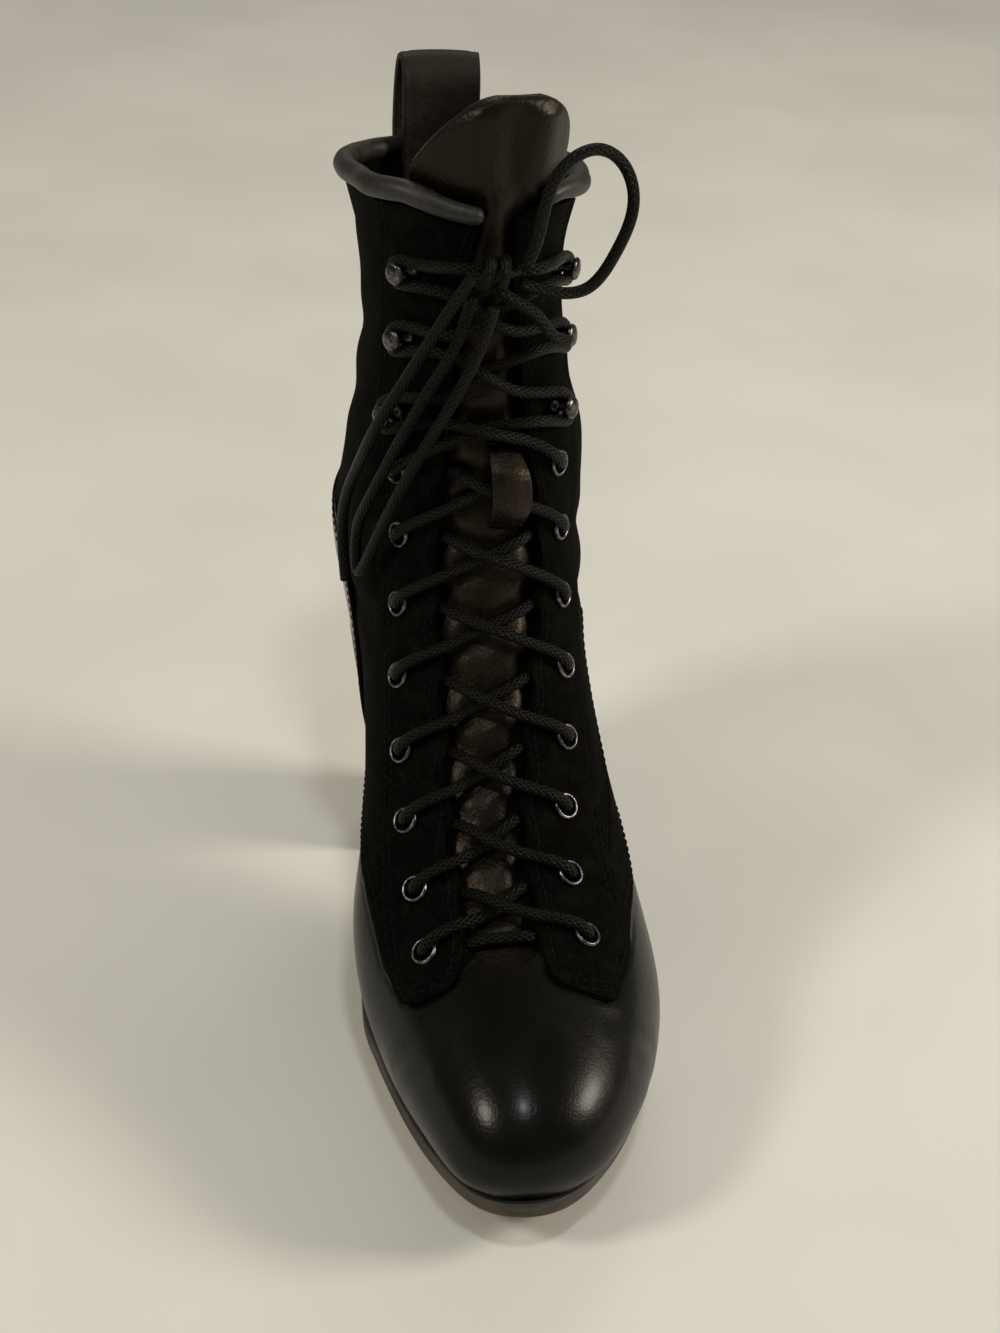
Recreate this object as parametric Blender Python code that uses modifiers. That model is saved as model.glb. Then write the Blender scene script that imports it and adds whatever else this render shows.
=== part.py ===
"""Heeled lace-up boot for the left foot.

Metres, +Z up, toe toward -Y, the inner side of the foot toward -X.
Tables are in millimetres: forward from the back of the heel, side (+ is outer), up from the floor.
"""
import math

import bmesh
import bpy
import numpy as np
from mathutils import Matrix, Vector

MM = 0.001
GAP = 0.3                 # clear space between neighbouring pieces
WALL = 2.0                # thickness of the upper
STAY = 1.2                # thickness of the eyestays
COUNTER = 1.2             # thickness of the heel counter
COUNTER_LIFT = 0.85       # how far the counter stands off the upper
STAY_LIFT = 0.5           # how far the eyestays stand off the upper
TONGUE = 4.0              # thickness of the padded tongue
TONGUE_DEEP = 2.95        # how deep the tongue's face lies under the upper's outside
BINDING_R = 3.2           # radius of the rolled collar binding
BINDING_LIFT = 1.3        # how far the binding stands out where the tongue passes behind it
WELT = 2.2                # how far the sole stands out past the upper
INSOLE = 2.0              # thickness of the insole
SOLE_CLEAR = 0.5          # the sole's top lies this far under the feather edge
LIFT_H = 6.0              # height of the heel's top lift
LACE_R = 2.1              # radius of the round lace
ROW_PITCH = 1.035         # section steps between two lace rows
HOOK_PITCH = 1.32         # section steps between two hooks
FIRST_HOOK = 13.63        # section of the lowest hooks
FIRST_ROW = 5.45          # section of the lowest eyelets
EYELET_ROWS = 8
HOOK_ROWS = 3
THROAT_BASE = 4.95        # section where the throat opens
TUCK_RISE = 24.0          # the heel swells to its full width over this height
SHAFT_FROM = 13.0         # above this section the rows follow the collar line
COLLAR = 18.0             # nominal section of the collar edge
TOE_TURN = -4.0           # the toe swings this far, inward when negative
TOE_TURN_FROM = 150.0
SHAFT_LEAN = -5.5         # the collar leans this far to the inner side
SHAFT_LEAN_FROM = 140.0
SHAFT_LEAN_TO = 240.0

# plan of the feather edge, where the upper meets the sole; the heel's end is rounded by BACK_ROUND
#    forward inner outer
PLAN = (
    (6.0, 28.5, 28.5),
    (25.0, 29.2, 29.2),
    (40.0, 29.5, 29.5),
    (60.0, 29.0, 29.5),
    (85.0, 26.0, 30.5),
    (110.0, 28.0, 36.0),
    (132.0, 35.6, 42.5),
    (148.0, 36.6, 45.0),
    (162.0, 33.6, 43.6),
    (178.0, 30.0, 39.8),
    (192.0, 26.4, 34.6),
    (203.0, 23.4, 29.6),
    (214.0, 20.0, 23.8),
    (223.0, 16.6, 18.2),
    (230.0, 12.6, 12.8),
    (234.4, 7.6, 7.6),
    (236.5, 0.0, 0.0),
)

# depth of the round at the back of each level
#    up depth
BACK_ROUND = (
    (85.0, 29.0),
    (106.0, 32.0),
    (137.0, 39.0),
    (170.0, 43.0),
    (203.0, 43.5),
    (250.0, 45.5),
    (302.0, 47.0),
)

# height of the feather edge and of the underside of the sole
#    forward feather under
PROFILE = (
    (0.0, 85.0, 80.6),
    (15.0, 84.5, 80.1),
    (35.0, 82.0, 77.6),
    (55.0, 76.5, 72.0),
    (80.0, 61.0, 56.4),
    (105.0, 40.5, 35.5),
    (130.0, 21.5, 15.8),
    (150.0, 11.5, 4.9),
    (158.0, 9.0, 1.6),
    (166.0, 7.6, 0.0),
    (184.0, 7.3, 0.0),
    (196.0, 9.0, 1.6),
    (208.0, 11.8, 4.9),
    (220.0, 15.4, 8.9),
    (240.0, 22.0, 16.0),
)

# sections of the last, from the toe over the instep and up the shaft: the top point of each section,
# its low point (on the feather edge up to the heel seat, then up the back), the half widths, the share
# of its height where it is widest, how square its crown is, and how far the crown leans inward
#    name          top_f  top_z   low_f  low_z  inner outer wide  crown lean
SECTIONS = (
    ("toe_edge", 236.8, 21.2, 231.0, None, 12.0, 12.0, 0.05, 2.0, 0.0),
    ("toe_wall", 238.4, 30.0, 222.0, None, 19.0, 20.5, 0.25, 2.0, -0.5),
    ("toe_bend", 233.5, 40.5, 209.5, None, 24.5, 28.5, 0.32, 2.0, -0.7),
    ("toe_top", 221.5, 48.5, 195.5, None, 29.5, 36.0, 0.34, 2.0, -1.0),
    ("vamp_low", 205.0, 54.5, 179.5, None, 34.5, 42.2, 0.34, 2.0, -1.0),
    ("ball", 187.0, 60.0, 161.5, None, 38.5, 46.5, 0.34, 2.0, -1.0),
    ("throat", 169.0, 66.5, 143.5, None, 41.0, 47.5, 0.34, 1.95, -1.5),
    ("instep_low", 153.0, 77.0, 124.0, None, 40.0, 45.5, 0.36, 1.9, -2.5),
    ("instep", 138.5, 91.0, 104.0, None, 35.5, 41.5, 0.38, 1.9, -2.0),
    ("instep_high", 126.5, 106.5, 83.0, None, 33.0, 37.5, 0.40, 1.9, -1.5),
    ("bend_low", 115.5, 124.0, 60.0, None, 32.0, 35.5, 0.40, 1.9, -1.0),
    ("bend", 107.5, 142.5, 36.0, None, 33.0, 35.5, 0.42, 1.9, -0.5),
    ("heel_seat", 102.5, 161.0, 6.0, None, 35.5, 36.0, 0.45, 2.0, 0.0),
    ("heel_bulge", 99.5, 179.5, 1.0, 104.0, 37.0, 36.5, 0.48, 2.0, 0.0),
    ("ankle", 98.0, 198.0, 3.5, 132.0, 34.0, 33.5, 0.50, 2.0, 0.0),
    ("shaft_low", 97.5, 214.0, 7.0, 161.0, 29.8, 29.5, 0.50, 2.0, 0.0),
    ("shaft_mid", 97.5, 229.0, 8.0, 190.0, 27.0, 28.5, 0.50, 2.0, 0.0),
    ("shaft_high", 98.0, 241.0, 7.0, 214.0, 28.5, 30.0, 0.50, 2.0, 0.0),
    ("collar", 98.5, 250.0, 4.5, 235.5, 33.5, 34.0, 0.50, 2.0, 0.0),
    ("over", 101.0, 268.0, 3.0, 256.0, 37.0, 38.0, 0.50, 2.0, 0.0),
    ("over_top", 105.0, 288.0, 0.0, 282.0, 39.0, 40.0, 0.50, 2.0, 0.0),
)
COLUMNS = ("top_f", "top_z", "low_f", "low_z", "inner", "outer", "wide", "crown", "lean")
HEEL_SEAT = [row[0] for row in SECTIONS].index("heel_seat")

# edges of the throat on each side, along the skin from the crest
#    section inner outer
THROAT = (
    (5.4, 13.8, 7.5),
    (6.5, 12.5, 7.2),
    (8.0, 12.5, 8.1),
    (9.5, 13.2, 10.6),
    (11.0, 14.6, 12.8),
    (12.7, 12.2, 11.4),
    (13.8, 10.0, 10.6),
    (15.3, 7.6, 10.0),
    (16.9, 4.4, 9.4),
    (18.0, 1.8, 9.0),
)

# where the eyelets and hooks stand, along the skin from the crest
#    section inner outer
EYELETS = (
    (5.4, 25.0, 21.5),
    (6.5, 25.0, 20.0),
    (8.0, 27.0, 22.5),
    (9.5, 29.0, 25.5),
    (11.0, 30.0, 26.5),
    (12.7, 29.5, 24.5),
    (13.63, 28.5, 24.0),
    (14.95, 23.5, 26.5),
    (16.27, 22.0, 29.5),
    (18.0, 22.0, 29.5),
)

# eyestay edges: the low tab has a round inner and a pointed outer corner, then the strip follows the throat
#    section near far
EYESTAY_INNER = (
    (4.70, 23.5, 29.5),
    (4.74, 21.0, 33.0),
    (4.80, 19.0, 35.2),
    (4.90, 17.4, 36.2),
    (5.2, 15.0, 38.0),
    (5.5, 14.0, 39.0),
    (6.0, 13.2, 39.2),
    (7.0, 12.6, 37.0),
    (8.5, 12.8, 37.0),
    (11.0, 14.7, 40.0),
    (14.0, 9.8, 38.5),
    (18.0, 1.9, 37.0),
)
EYESTAY_OUTER = (
    (4.44, 15.0, 28.3),
    (4.50, 12.8, 29.2),
    (4.62, 10.3, 30.4),
    (4.80, 8.4, 32.0),
    (5.1, 7.6, 35.0),
    (5.5, 7.5, 38.0),
    (6.0, 7.4, 38.5),
    (7.0, 7.6, 36.5),
    (8.5, 8.9, 37.0),
    (11.0, 12.9, 40.0),
    (14.0, 10.6, 38.5),
    (18.0, 9.1, 37.0),
)

# upper edge of the heel counter seen from the side, from its low front corner to the back
#    forward up
COUNTER_SIDE = (
    (84.0, 61.0),
    (76.0, 80.0),
    (64.0, 99.0),
    (49.0, 116.0),
    (32.0, 131.0),
    (14.0, 142.0),
    (-14.0, 149.0),
)
COUNTER_SKIP = 4          # columns next to the throat that the counter never reaches

# edges of the tongue, along the skin from the crest
#    section inner outer
TONGUE_EDGE = (
    (4.25, -12.0, 12.0),
    (4.7, -20.0, 20.0),
    (6.0, -24.0, 24.0),
    (8.0, -27.0, 27.0),
    (11.0, -31.0, 31.0),
    (15.0, -29.5, 29.5),
    (17.0, -27.5, 31.5),
    (18.0, -26.5, 33.0),
    (18.31, -26.2, 33.4),
    (18.6, -22.3, 33.4),
    (18.87, -17.0, 32.4),
    (19.1, -11.2, 29.5),
    (19.3, -4.6, 23.5),
    (19.4, 3.5, 15.5),
)

# bow of the lace keeper over the lace
#    section lift
KEEPER_BOW = (
    (11.54, -2.2),
    (11.65, 1.8),
    (11.79, 6.4),
    (11.95, 7.2),
    (12.16, 7.4),
    (12.34, 7.3),
    (12.5, 6.7),
    (12.74, 1.8),
    (12.92, -2.2),
)
KEEPER_SIDE = (-1.5, 2.5, 6.5, 10.5)
KEEPER = 1.5

# path of the pull loop's strap, up the outside of the back, over the binding and down inside
#    forward up
LOOP_PATH = (
    (5.4, 196.0),
    (5.4, 205.0),
    (4.2, 215.0),
    (1.6, 225.5),
    (-0.8, 234.0),
    (-1.6, 242.0),
    (-0.8, 250.0),
    (1.4, 256.6),
    (4.2, 259.2),
    (7.0, 257.2),
    (8.8, 251.0),
    (10.0, 243.0),
    (11.2, 234.0),
    (12.6, 225.0),
)
LOOP_HALF = 12.0
LOOP_CURVE = 66.0         # side squared over this is how far the strap bends round the back
LOOP = 1.8

# rings of the heel block from the seat down
#    drop back front half
HEEL = (
    (0.0, 6.6, 60.0, 28.0),
    (0.3, 9.0, 57.0, 26.6),
    (0.65, 11.0, 54.5, 25.4),
    (1.0, 12.0, 53.0, 25.0),
)

# edge steps of the sole: how far the edge is drawn in, and its share of the thickness
#    inset share
SOLE_EDGE = (
    (1.0, 0.0),
    (0.0, 0.14),
    (0.0, 0.72),
    (0.7, 0.78),
    (1.1, 1.0),
)

# hand-placed routes of the loose lace: forward, side, up
LOOP_RIGHT = (
    (107.5, 3.0, 228.5),
    (107.0, 11.5, 226.0),
    (105.5, 21.5, 226.0),
    (103.5, 29.5, 235.5),
    (102.5, 33.5, 250.0),
    (103.0, 29.0, 261.0),
    (105.0, 21.5, 265.0),
    (107.5, 13.0, 261.5),
    (109.0, 8.0, 251.0),
    (110.0, 6.0, 241.0),
    (110.0, 4.0, 235.2),
)
LOOP_HANG = (
    (109.6, -10.4, 225.5),
    (107.0, -13.5, 211.5),
    (104.5, -20.5, 195.5),
    (96.5, -28.0, 174.0),
    (87.0, -34.5, 152.0),
    (82.0, -36.5, 137.0),
    (84.0, -36.0, 128.5),
    (90.0, -33.5, 137.0),
    (98.0, -29.0, 155.5),
    (105.0, -22.0, 176.5),
    (108.0, -15.0, 192.0),
    (110.2, -8.6, 208.0),
    (111.4, -4.6, 223.0),
)
END_LEFT = (
    (112.6, -11.5, 232.0),
    (109.5, -18.0, 219.0),
    (103.0, -26.0, 200.0),
    (97.0, -33.0, 183.0),
    (84.0, -37.0, 164.0),
    (72.0, -39.6, 146.0),
    (68.0, -40.0, 132.0),
    (71.0, -39.0, 118.0),
)
END_RIGHT = (
    (109.5, 0.5, 225.0),
    (108.0, 8.0, 219.5),
    (106.0, 13.0, 213.0),
    (102.8, 18.2, 209.6),
)
KNOT = ((106.3, -9.1, 232.0), (107.6, -3.5, 231.8), (106.3, 1.7, 231.6))
KNOT_R = 4.3

COLOURS = {
    "leather": (0.018, 0.017, 0.016, 1.0),
    "suede": (0.010, 0.010, 0.011, 1.0),
    "tongue": (0.022, 0.018, 0.016, 1.0),
    "lace": (0.045, 0.047, 0.045, 1.0),
    "metal": (0.22, 0.22, 0.23, 1.0),
    "sole": (0.035, 0.030, 0.027, 1.0),
    "heel": (0.020, 0.018, 0.017, 1.0),
    "rubber": (0.015, 0.015, 0.015, 1.0),
    "insole": (0.050, 0.042, 0.036, 1.0),
}


class Spline:
    """Natural cubic through one column of a short table."""

    def __init__(self, xs, ys):
        self.xs = np.array(xs, float)
        self.ys = np.array(ys, float)
        n = len(self.xs)
        h = np.diff(self.xs)
        a = np.eye(n)
        b = np.zeros(n)
        for i in range(1, n - 1):
            a[i, i - 1] = h[i - 1]
            a[i, i] = 2.0 * (h[i - 1] + h[i])
            a[i, i + 1] = h[i]
            b[i] = 6.0 * ((self.ys[i + 1] - self.ys[i]) / h[i] - (self.ys[i] - self.ys[i - 1]) / h[i - 1])
        self.bend = np.linalg.solve(a, b)
        self.step = h

    def __call__(self, x):
        i = int(np.clip(np.searchsorted(self.xs, x) - 1, 0, len(self.step) - 1))
        h = self.step[i]
        u = (self.xs[i + 1] - x) / h
        v = (x - self.xs[i]) / h
        curve = ((u ** 3 - u) * self.bend[i] + (v ** 3 - v) * self.bend[i + 1]) * h * h / 6.0
        return float(u * self.ys[i] + v * self.ys[i + 1] + curve)


class Steady:
    """Monotone cubic through one column of a short table, with flats kept flat."""

    def __init__(self, xs, ys):
        self.xs = [float(x) for x in xs]
        self.ys = [float(y) for y in ys]
        n = len(self.xs)
        self.step = [self.xs[i + 1] - self.xs[i] for i in range(n - 1)]
        rise = [(self.ys[i + 1] - self.ys[i]) / self.step[i] for i in range(n - 1)]
        self.slope = [0.0] * n
        self.slope[0] = rise[0]
        self.slope[-1] = rise[-1]
        for i in range(1, n - 1):
            if rise[i - 1] * rise[i] > 0.0:
                a = 2.0 * self.step[i] + self.step[i - 1]
                b = self.step[i] + 2.0 * self.step[i - 1]
                self.slope[i] = (a + b) / (a / rise[i - 1] + b / rise[i])

    def __call__(self, x):
        x = min(max(x, self.xs[0]), self.xs[-1])
        i = 0
        while i < len(self.step) - 1 and x > self.xs[i + 1]:
            i += 1
        h = self.step[i]
        t = (x - self.xs[i]) / h
        a = (2.0 * t ** 3 - 3.0 * t ** 2 + 1.0) * self.ys[i] + (t ** 3 - 2.0 * t ** 2 + t) * h * self.slope[i]
        b = (3.0 * t ** 2 - 2.0 * t ** 3) * self.ys[i + 1] + (t ** 3 - t ** 2) * h * self.slope[i + 1]
        return a + b


def column(table, index):
    """One column of a table."""
    return [row[index] for row in table]


feather = Spline(column(PROFILE, 0), column(PROFILE, 1))
under = Steady(column(PROFILE, 0), column(PROFILE, 2))
plan_inner = Steady(column(PLAN, 0), [v * v for v in column(PLAN, 1)])
plan_outer = Steady(column(PLAN, 0), [v * v for v in column(PLAN, 2)])
gap_inner = Steady(column(THROAT, 0), column(THROAT, 1))
gap_outer = Steady(column(THROAT, 0), column(THROAT, 2))
eyelet_inner = Steady(column(EYELETS, 0), column(EYELETS, 1))
eyelet_outer = Steady(column(EYELETS, 0), column(EYELETS, 2))
tongue_inner = Steady(column(TONGUE_EDGE, 0), column(TONGUE_EDGE, 1))
tongue_outer = Steady(column(TONGUE_EDGE, 0), column(TONGUE_EDGE, 2))
keeper_bow = Steady(column(KEEPER_BOW, 0), column(KEEPER_BOW, 1))

back_rows = SECTIONS[HEEL_SEAT:]
SEAT_UP = feather(back_rows[0][3])
back_line = Spline([SEAT_UP] + column(back_rows[1:], 4), column(back_rows, 3))
back_round = Steady(column(BACK_ROUND, 0), column(BACK_ROUND, 1))

section_of = {}
for number, label in enumerate(COLUMNS):
    values = []
    for row in SECTIONS:
        value = row[number + 1]
        values.append(feather(row[3]) if value is None else value)
    section_of[label] = Spline(range(len(SECTIONS)), values)


def back_share(f, z):
    """Share of the full width left at a point by the round of the back at its level."""
    z = max(z, SEAT_UP)
    u = (back_line(z) + back_round(z) - f) / back_round(z)
    return math.sqrt(max(1.0 - min(max(u, 0.0), 1.0) ** 2, 0.0))


def plan_width(f, side):
    """Half width of the feather edge before its heel is rounded; the squared columns round the toe."""
    squared = plan_inner(f) if side < 0 else plan_outer(f)
    return math.sqrt(max(squared, 0.0))


def plan(f, side):
    """Half width of the feather edge."""
    return plan_width(f, side) * back_share(f, 0.0)


def ease(u):
    """Smooth step from 0 to 1."""
    u = min(max(u, 0.0), 1.0)
    return u * u * (3.0 - 2.0 * u)


def swing(f, z):
    """Sideways turn of the toe and lean of the shaft."""
    toe = max(f - TOE_TURN_FROM, 0.0) / (PLAN[-1][0] - TOE_TURN_FROM)
    return TOE_TURN * toe * toe + SHAFT_LEAN * ease((z - SHAFT_LEAN_FROM) / (SHAFT_LEAN_TO - SHAFT_LEAN_FROM))


HALF_STEPS = 48
section_cache = {}


def half_section(t, side):
    """Points of one half section from the crest to its low end, with the distance along it."""
    key = (round(t, 5), side)
    if key in section_cache:
        return section_cache[key]
    g = {label: section_of[label](t) for label in COLUMNS}
    if t < HEEL_SEAT:
        g["low_z"] = feather(g["low_f"])
    else:
        g["low_f"] = back_line(g["low_z"])
    half = g["inner"] if side < 0 else g["outer"]
    edge = plan_width(g["low_f"], side)
    half = max(half, edge)
    tuck = (half - edge) * (1.0 - ease((g["low_z"] - SEAT_UP) / TUCK_RISE))
    if t < HEEL_SEAT:
        tuck = half - edge
    reach_f = g["top_f"] - g["low_f"]
    reach_z = g["top_z"] - g["low_z"]
    height = math.hypot(reach_f, reach_z)
    turn = np.linspace(0.0, 0.5 * math.pi, HALF_STEPS + 1)
    power = 2.0 / g["crown"]
    x_top = half * np.sin(turn) ** power
    q_top = g["wide"] + (1.0 - g["wide"]) * np.clip(np.cos(turn), 0.0, 1.0) ** power
    down = np.sin(turn[1:])
    q_low = g["wide"] * (1.0 - down)
    x_low = half - tuck * down * down
    share = [back_share(g["low_f"] + reach_f * q, g["low_z"] + reach_z * q) for q in q_low]
    x_low = x_low * np.array(share)
    x = np.concatenate([x_top, x_low])
    q = np.concatenate([q_top, q_low])
    points = np.stack([g["low_f"] + reach_f * q, side * x + g["lean"] * q, g["low_z"] + reach_z * q], 1)
    points[:, 1] += [swing(f, z) for f, s, z in points]
    along = np.concatenate([[0.0], np.cumsum(np.linalg.norm(np.diff(points, axis=0), axis=1))])
    section_cache[key] = (points, along)
    return section_cache[key]


def girth(t, side):
    """Length of one half section."""
    return float(half_section(t, side)[1][-1])


def on_last(t, d):
    """Point of the last at a signed distance from the crest."""
    side = -1 if d < 0 else 1
    points, along = half_section(t, side)
    reach = abs(d)
    if reach > along[-1]:
        over = reach - along[-1]
        if t >= HEEL_SEAT:
            points, along = half_section(t, -side)
            reach = along[-1] - over
        else:
            last = points[-1] - points[-2]
            return points[-1] + last / np.linalg.norm(last) * over
    return np.array([np.interp(reach, along, points[:, i]) for i in range(3)])


def outward(t, d):
    """Unit normal of the last, pointing away from the foot."""
    side = -1 if d < 0 else 1
    whole = girth(t, side)
    share = abs(d) / whole
    before = max(t - 0.04, 0.0)
    after = t + 0.04
    reach = abs(d) + 0.6
    if t < HEEL_SEAT:
        after = min(after, HEEL_SEAT - 0.0001)
        reach = min(reach, whole)
    else:
        before = max(before, HEEL_SEAT)
    across = on_last(t, side * reach) - on_last(t, side * (abs(d) - 0.6))
    ahead = on_last(after, side * share * girth(after, side))
    up = ahead - on_last(before, side * share * girth(before, side))
    n = np.cross(across, up)
    size = np.linalg.norm(n)
    middle = np.array([
        0.5 * (section_of["top_f"](t) + section_of["low_f"](t)),
        0.0,
        0.5 * (section_of["top_z"](t) + section_of["low_z"](t)),
    ])
    n = n / max(size, 1e-9)
    return n if float(np.dot(n, on_last(t, d) - middle)) >= 0.0 else -n


def collar_section(t, d):
    """Section that a nominal row has at this distance, so that the top row follows the collar line."""
    if t <= SHAFT_FROM:
        return t
    top = 17.0 + 0.75 * ease((abs(d) - 1.0) / 24.0)
    return SHAFT_FROM + (t - SHAFT_FROM) * (top - SHAFT_FROM) / (COLLAR - SHAFT_FROM)


def skin(t, d, lift=0.0):
    """Point of the upper's outside, or above it by a lift; rows above the ankle follow the collar."""
    s = collar_section(t, d)
    p = on_last(s, d)
    return p + outward(s, d) * lift if lift else p


def half_gap(t, side):
    """Distance of one edge of the throat from the crest, with a round base."""
    edge = gap_inner if side < 0 else gap_outer
    if t <= THROAT_BASE:
        return 0.0
    u = (t - THROAT_BASE) / 0.5
    if u < 1.0:
        return edge(THROAT_BASE + 0.5) * math.sqrt(1.0 - (1.0 - u) ** 2)
    return edge(t)


def throat_middle(t):
    """Signed distance of the middle of the throat from the crest."""
    return 0.5 * (half_gap(t, 1) - half_gap(t, -1))


def eyelet_side(t, side):
    """Distance of an eyelet or hook from the crest."""
    return eyelet_inner(t) if side < 0 else eyelet_outer(t)


def world(p):
    """Table point to metres."""
    return Vector((p[1] * MM, -p[0] * MM, p[2] * MM))


for stale in list(bpy.data.objects):
    bpy.data.objects.remove(stale, do_unlink=True)
scene = bpy.context.scene
parts = bpy.data.collections.new("lace_up_boot")
cutters = bpy.data.collections.new("lace_joins")
scene.collection.children.link(parts)
scene.collection.children.link(cutters)
cords = set()


def material(name):
    """Principled material for a class of piece."""
    found = bpy.data.materials.get(name)
    if found:
        return found
    made = bpy.data.materials.new(name)
    made.use_nodes = True
    shader = made.node_tree.nodes["Principled BSDF"]
    shader.inputs["Base Color"].default_value = COLOURS[name]
    shader.inputs["Roughness"].default_value = 0.35 if name == "metal" else 0.6
    shader.inputs["Metallic"].default_value = 1.0 if name == "metal" else 0.0
    return made


def finish_mesh(name, bm, look, closed):
    """Clean a mesh and make it an object of the part."""
    bmesh.ops.remove_doubles(bm, verts=bm.verts, dist=0.00003)
    bmesh.ops.dissolve_degenerate(bm, edges=bm.edges, dist=0.00002)
    if closed:
        bmesh.ops.recalc_face_normals(bm, faces=bm.faces)
    mesh = bpy.data.meshes.new(name)
    bm.to_mesh(mesh)
    bm.free()
    made = bpy.data.objects.new(name, mesh)
    made.data.materials.append(material(look))
    parts.objects.link(made)
    return made


def thicken(made, thickness):
    """Give an open surface its wall; positive grows along the face normals."""
    shell = made.modifiers.new("wall", "SOLIDIFY")
    shell.thickness = abs(thickness) * MM
    shell.offset = 1.0 if thickness > 0 else -1.0
    shell.use_even_offset = True
    shell.use_quality_normals = True


def sheet(name, rows, thickness, look, skip=None, flip=False):
    """Open grid of table points turned into a shell."""
    bm = bmesh.new()
    grid = [[bm.verts.new(world(p)) for p in row] for row in rows]
    for i in range(len(grid) - 1):
        for j in range(len(grid[i]) - 1):
            if skip and skip(i, j):
                continue
            quad = [grid[i][j], grid[i][j + 1], grid[i + 1][j + 1], grid[i + 1][j]]
            bm.faces.new(quad[::-1] if flip else quad)
    made = finish_mesh(name, bm, look, False)
    thicken(made, thickness)
    return made


def slab(name, rings, look):
    """Solid through rings of left and right points; each ring runs from the back to the front."""
    bm = bmesh.new()
    made = []
    for ring in rings:
        left = [bm.verts.new(world(p)) for p, q in ring]
        right = [bm.verts.new(world(q)) for p, q in ring]
        made.append((left, right))
    count = len(rings[0])
    for ring, flip in ((made[0], False), (made[-1], True)):
        left, right = ring
        for i in range(count - 1):
            quad = [left[i], left[i + 1], right[i + 1], right[i]]
            bm.faces.new(quad[::-1] if flip else quad)
    for upper, lower in zip(made, made[1:]):
        for i in range(count - 1):
            bm.faces.new([upper[0][i], upper[0][i + 1], lower[0][i + 1], lower[0][i]])
            bm.faces.new([upper[1][i + 1], upper[1][i], lower[1][i], lower[1][i + 1]])
        for i in (0, count - 1):
            bm.faces.new([upper[0][i], upper[1][i], lower[1][i], lower[0][i]])
    return finish_mesh(name, bm, look, True)


def turned(name, profile, place, axis, look, steps=10):
    """Solid turned about the skin's normal from a profile of radius and height."""
    bm = bmesh.new()
    verts = [bm.verts.new((r * MM, 0.0, h * MM)) for r, h in profile]
    edges = [bm.edges.new(pair) for pair in zip(verts, verts[1:])]
    bmesh.ops.spin(bm, geom=verts + edges, cent=(0, 0, 0), axis=(0, 0, 1), angle=2.0 * math.pi, steps=steps,
                   use_merge=True)
    rotate = Vector((0, 0, 1)).rotation_difference(axis).to_matrix().to_4x4()
    bm.transform(Matrix.Translation(place) @ rotate)
    return finish_mesh(name, bm, look, True)


def smooth_route(points, count):
    """Even points on a smooth curve through hand-placed ones."""
    points = np.array(points, float)
    run = np.concatenate([[0.0], np.cumsum(np.linalg.norm(np.diff(points, axis=0), axis=1))])
    lines = [Spline(run, points[:, i]) for i in range(3)]
    return [np.array([line(x) for line in lines]) for x in np.linspace(0.0, run[-1], count)]


def tube(name, points, radius, look, home=None, resolution=2):
    """Round tube along table points."""
    curve = bpy.data.curves.new(name, "CURVE")
    curve.dimensions = "3D"
    curve.bevel_depth = radius * MM
    curve.bevel_resolution = resolution
    curve.use_fill_caps = True
    line = curve.splines.new("POLY")
    line.points.add(len(points) - 1)
    for knot, p in zip(line.points, points):
        w = world(p)
        knot.co = (w.x, w.y, w.z, 1.0)
    made = bpy.data.objects.new(name, curve)
    made.data.materials.append(material(look))
    (home or parts).objects.link(made)
    return made


def tube_mesh(name, points, radius, home):
    """Tube turned into a mesh, ready to be joined."""
    source = tube(name + "_route", points, radius, "lace", home)
    bpy.context.view_layer.update()
    graph = bpy.context.evaluated_depsgraph_get()
    mesh = bpy.data.meshes.new_from_object(source.evaluated_get(graph))
    bpy.data.objects.remove(source, do_unlink=True)
    bm = bmesh.new()
    bm.from_mesh(mesh)
    bmesh.ops.remove_doubles(bm, verts=bm.verts, dist=0.00001)
    bmesh.ops.recalc_face_normals(bm, faces=bm.faces)
    bm.to_mesh(mesh)
    bm.free()
    made = bpy.data.objects.new(name, mesh)
    home.objects.link(made)
    return made


def crossing(name, first, second):
    """Two strands that cross, joined into one solid."""
    made = tube_mesh(name, first, LACE_R, parts)
    other = tube_mesh(name + "_second", second, LACE_R, cutters)
    other.hide_render = True
    other.display_type = "WIRE"
    join = made.modifiers.new("join", "BOOLEAN")
    join.operation = "UNION"
    join.solver = "EXACT"
    join.object = other
    if not made.data.materials:
        made.data.materials.append(material("lace"))
    return made


def spread(start, stop, count):
    """Even values from start to stop."""
    return [start + (stop - start) * i / (count - 1) for i in range(count)]


# upper: rows close together at the toe and at the base of the throat
UPPER_ROWS = (
    [0.0, 0.2, 0.5, 0.85, 1.25, 1.7, 2.25, 2.9, 3.6, 4.3, THROAT_BASE]
    + [THROAT_BASE + 0.03, THROAT_BASE + 0.12, THROAT_BASE + 0.28, THROAT_BASE + 0.5]
    + spread(6.0, 10.9, 8) + [11.22, 11.45, 11.64, 11.8, 11.92, 12.0, 12.3] + spread(12.75, COLLAR, 7)
)
UPPER_SHARES = spread(0.0, 1.0, 12)


def upper_row(t, lift=0.0):
    """One row of the upper from the inner low end over the crest to the outer low end."""
    row = []
    for side in (-1, 1):
        gap = half_gap(t, side)
        whole = girth(collar_section(t, 200.0), side)
        reach = [gap + (whole - gap) * share for share in UPPER_SHARES]
        line = [skin(t, side * max(d, 1e-6), lift) for d in reach]
        row += line[::-1] if side < 0 else line
    return row


middle = len(UPPER_SHARES) - 1
sheet("upper", [upper_row(t) for t in UPPER_ROWS], -WALL, "leather",
      skip=lambda i, j: j == middle)

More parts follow.
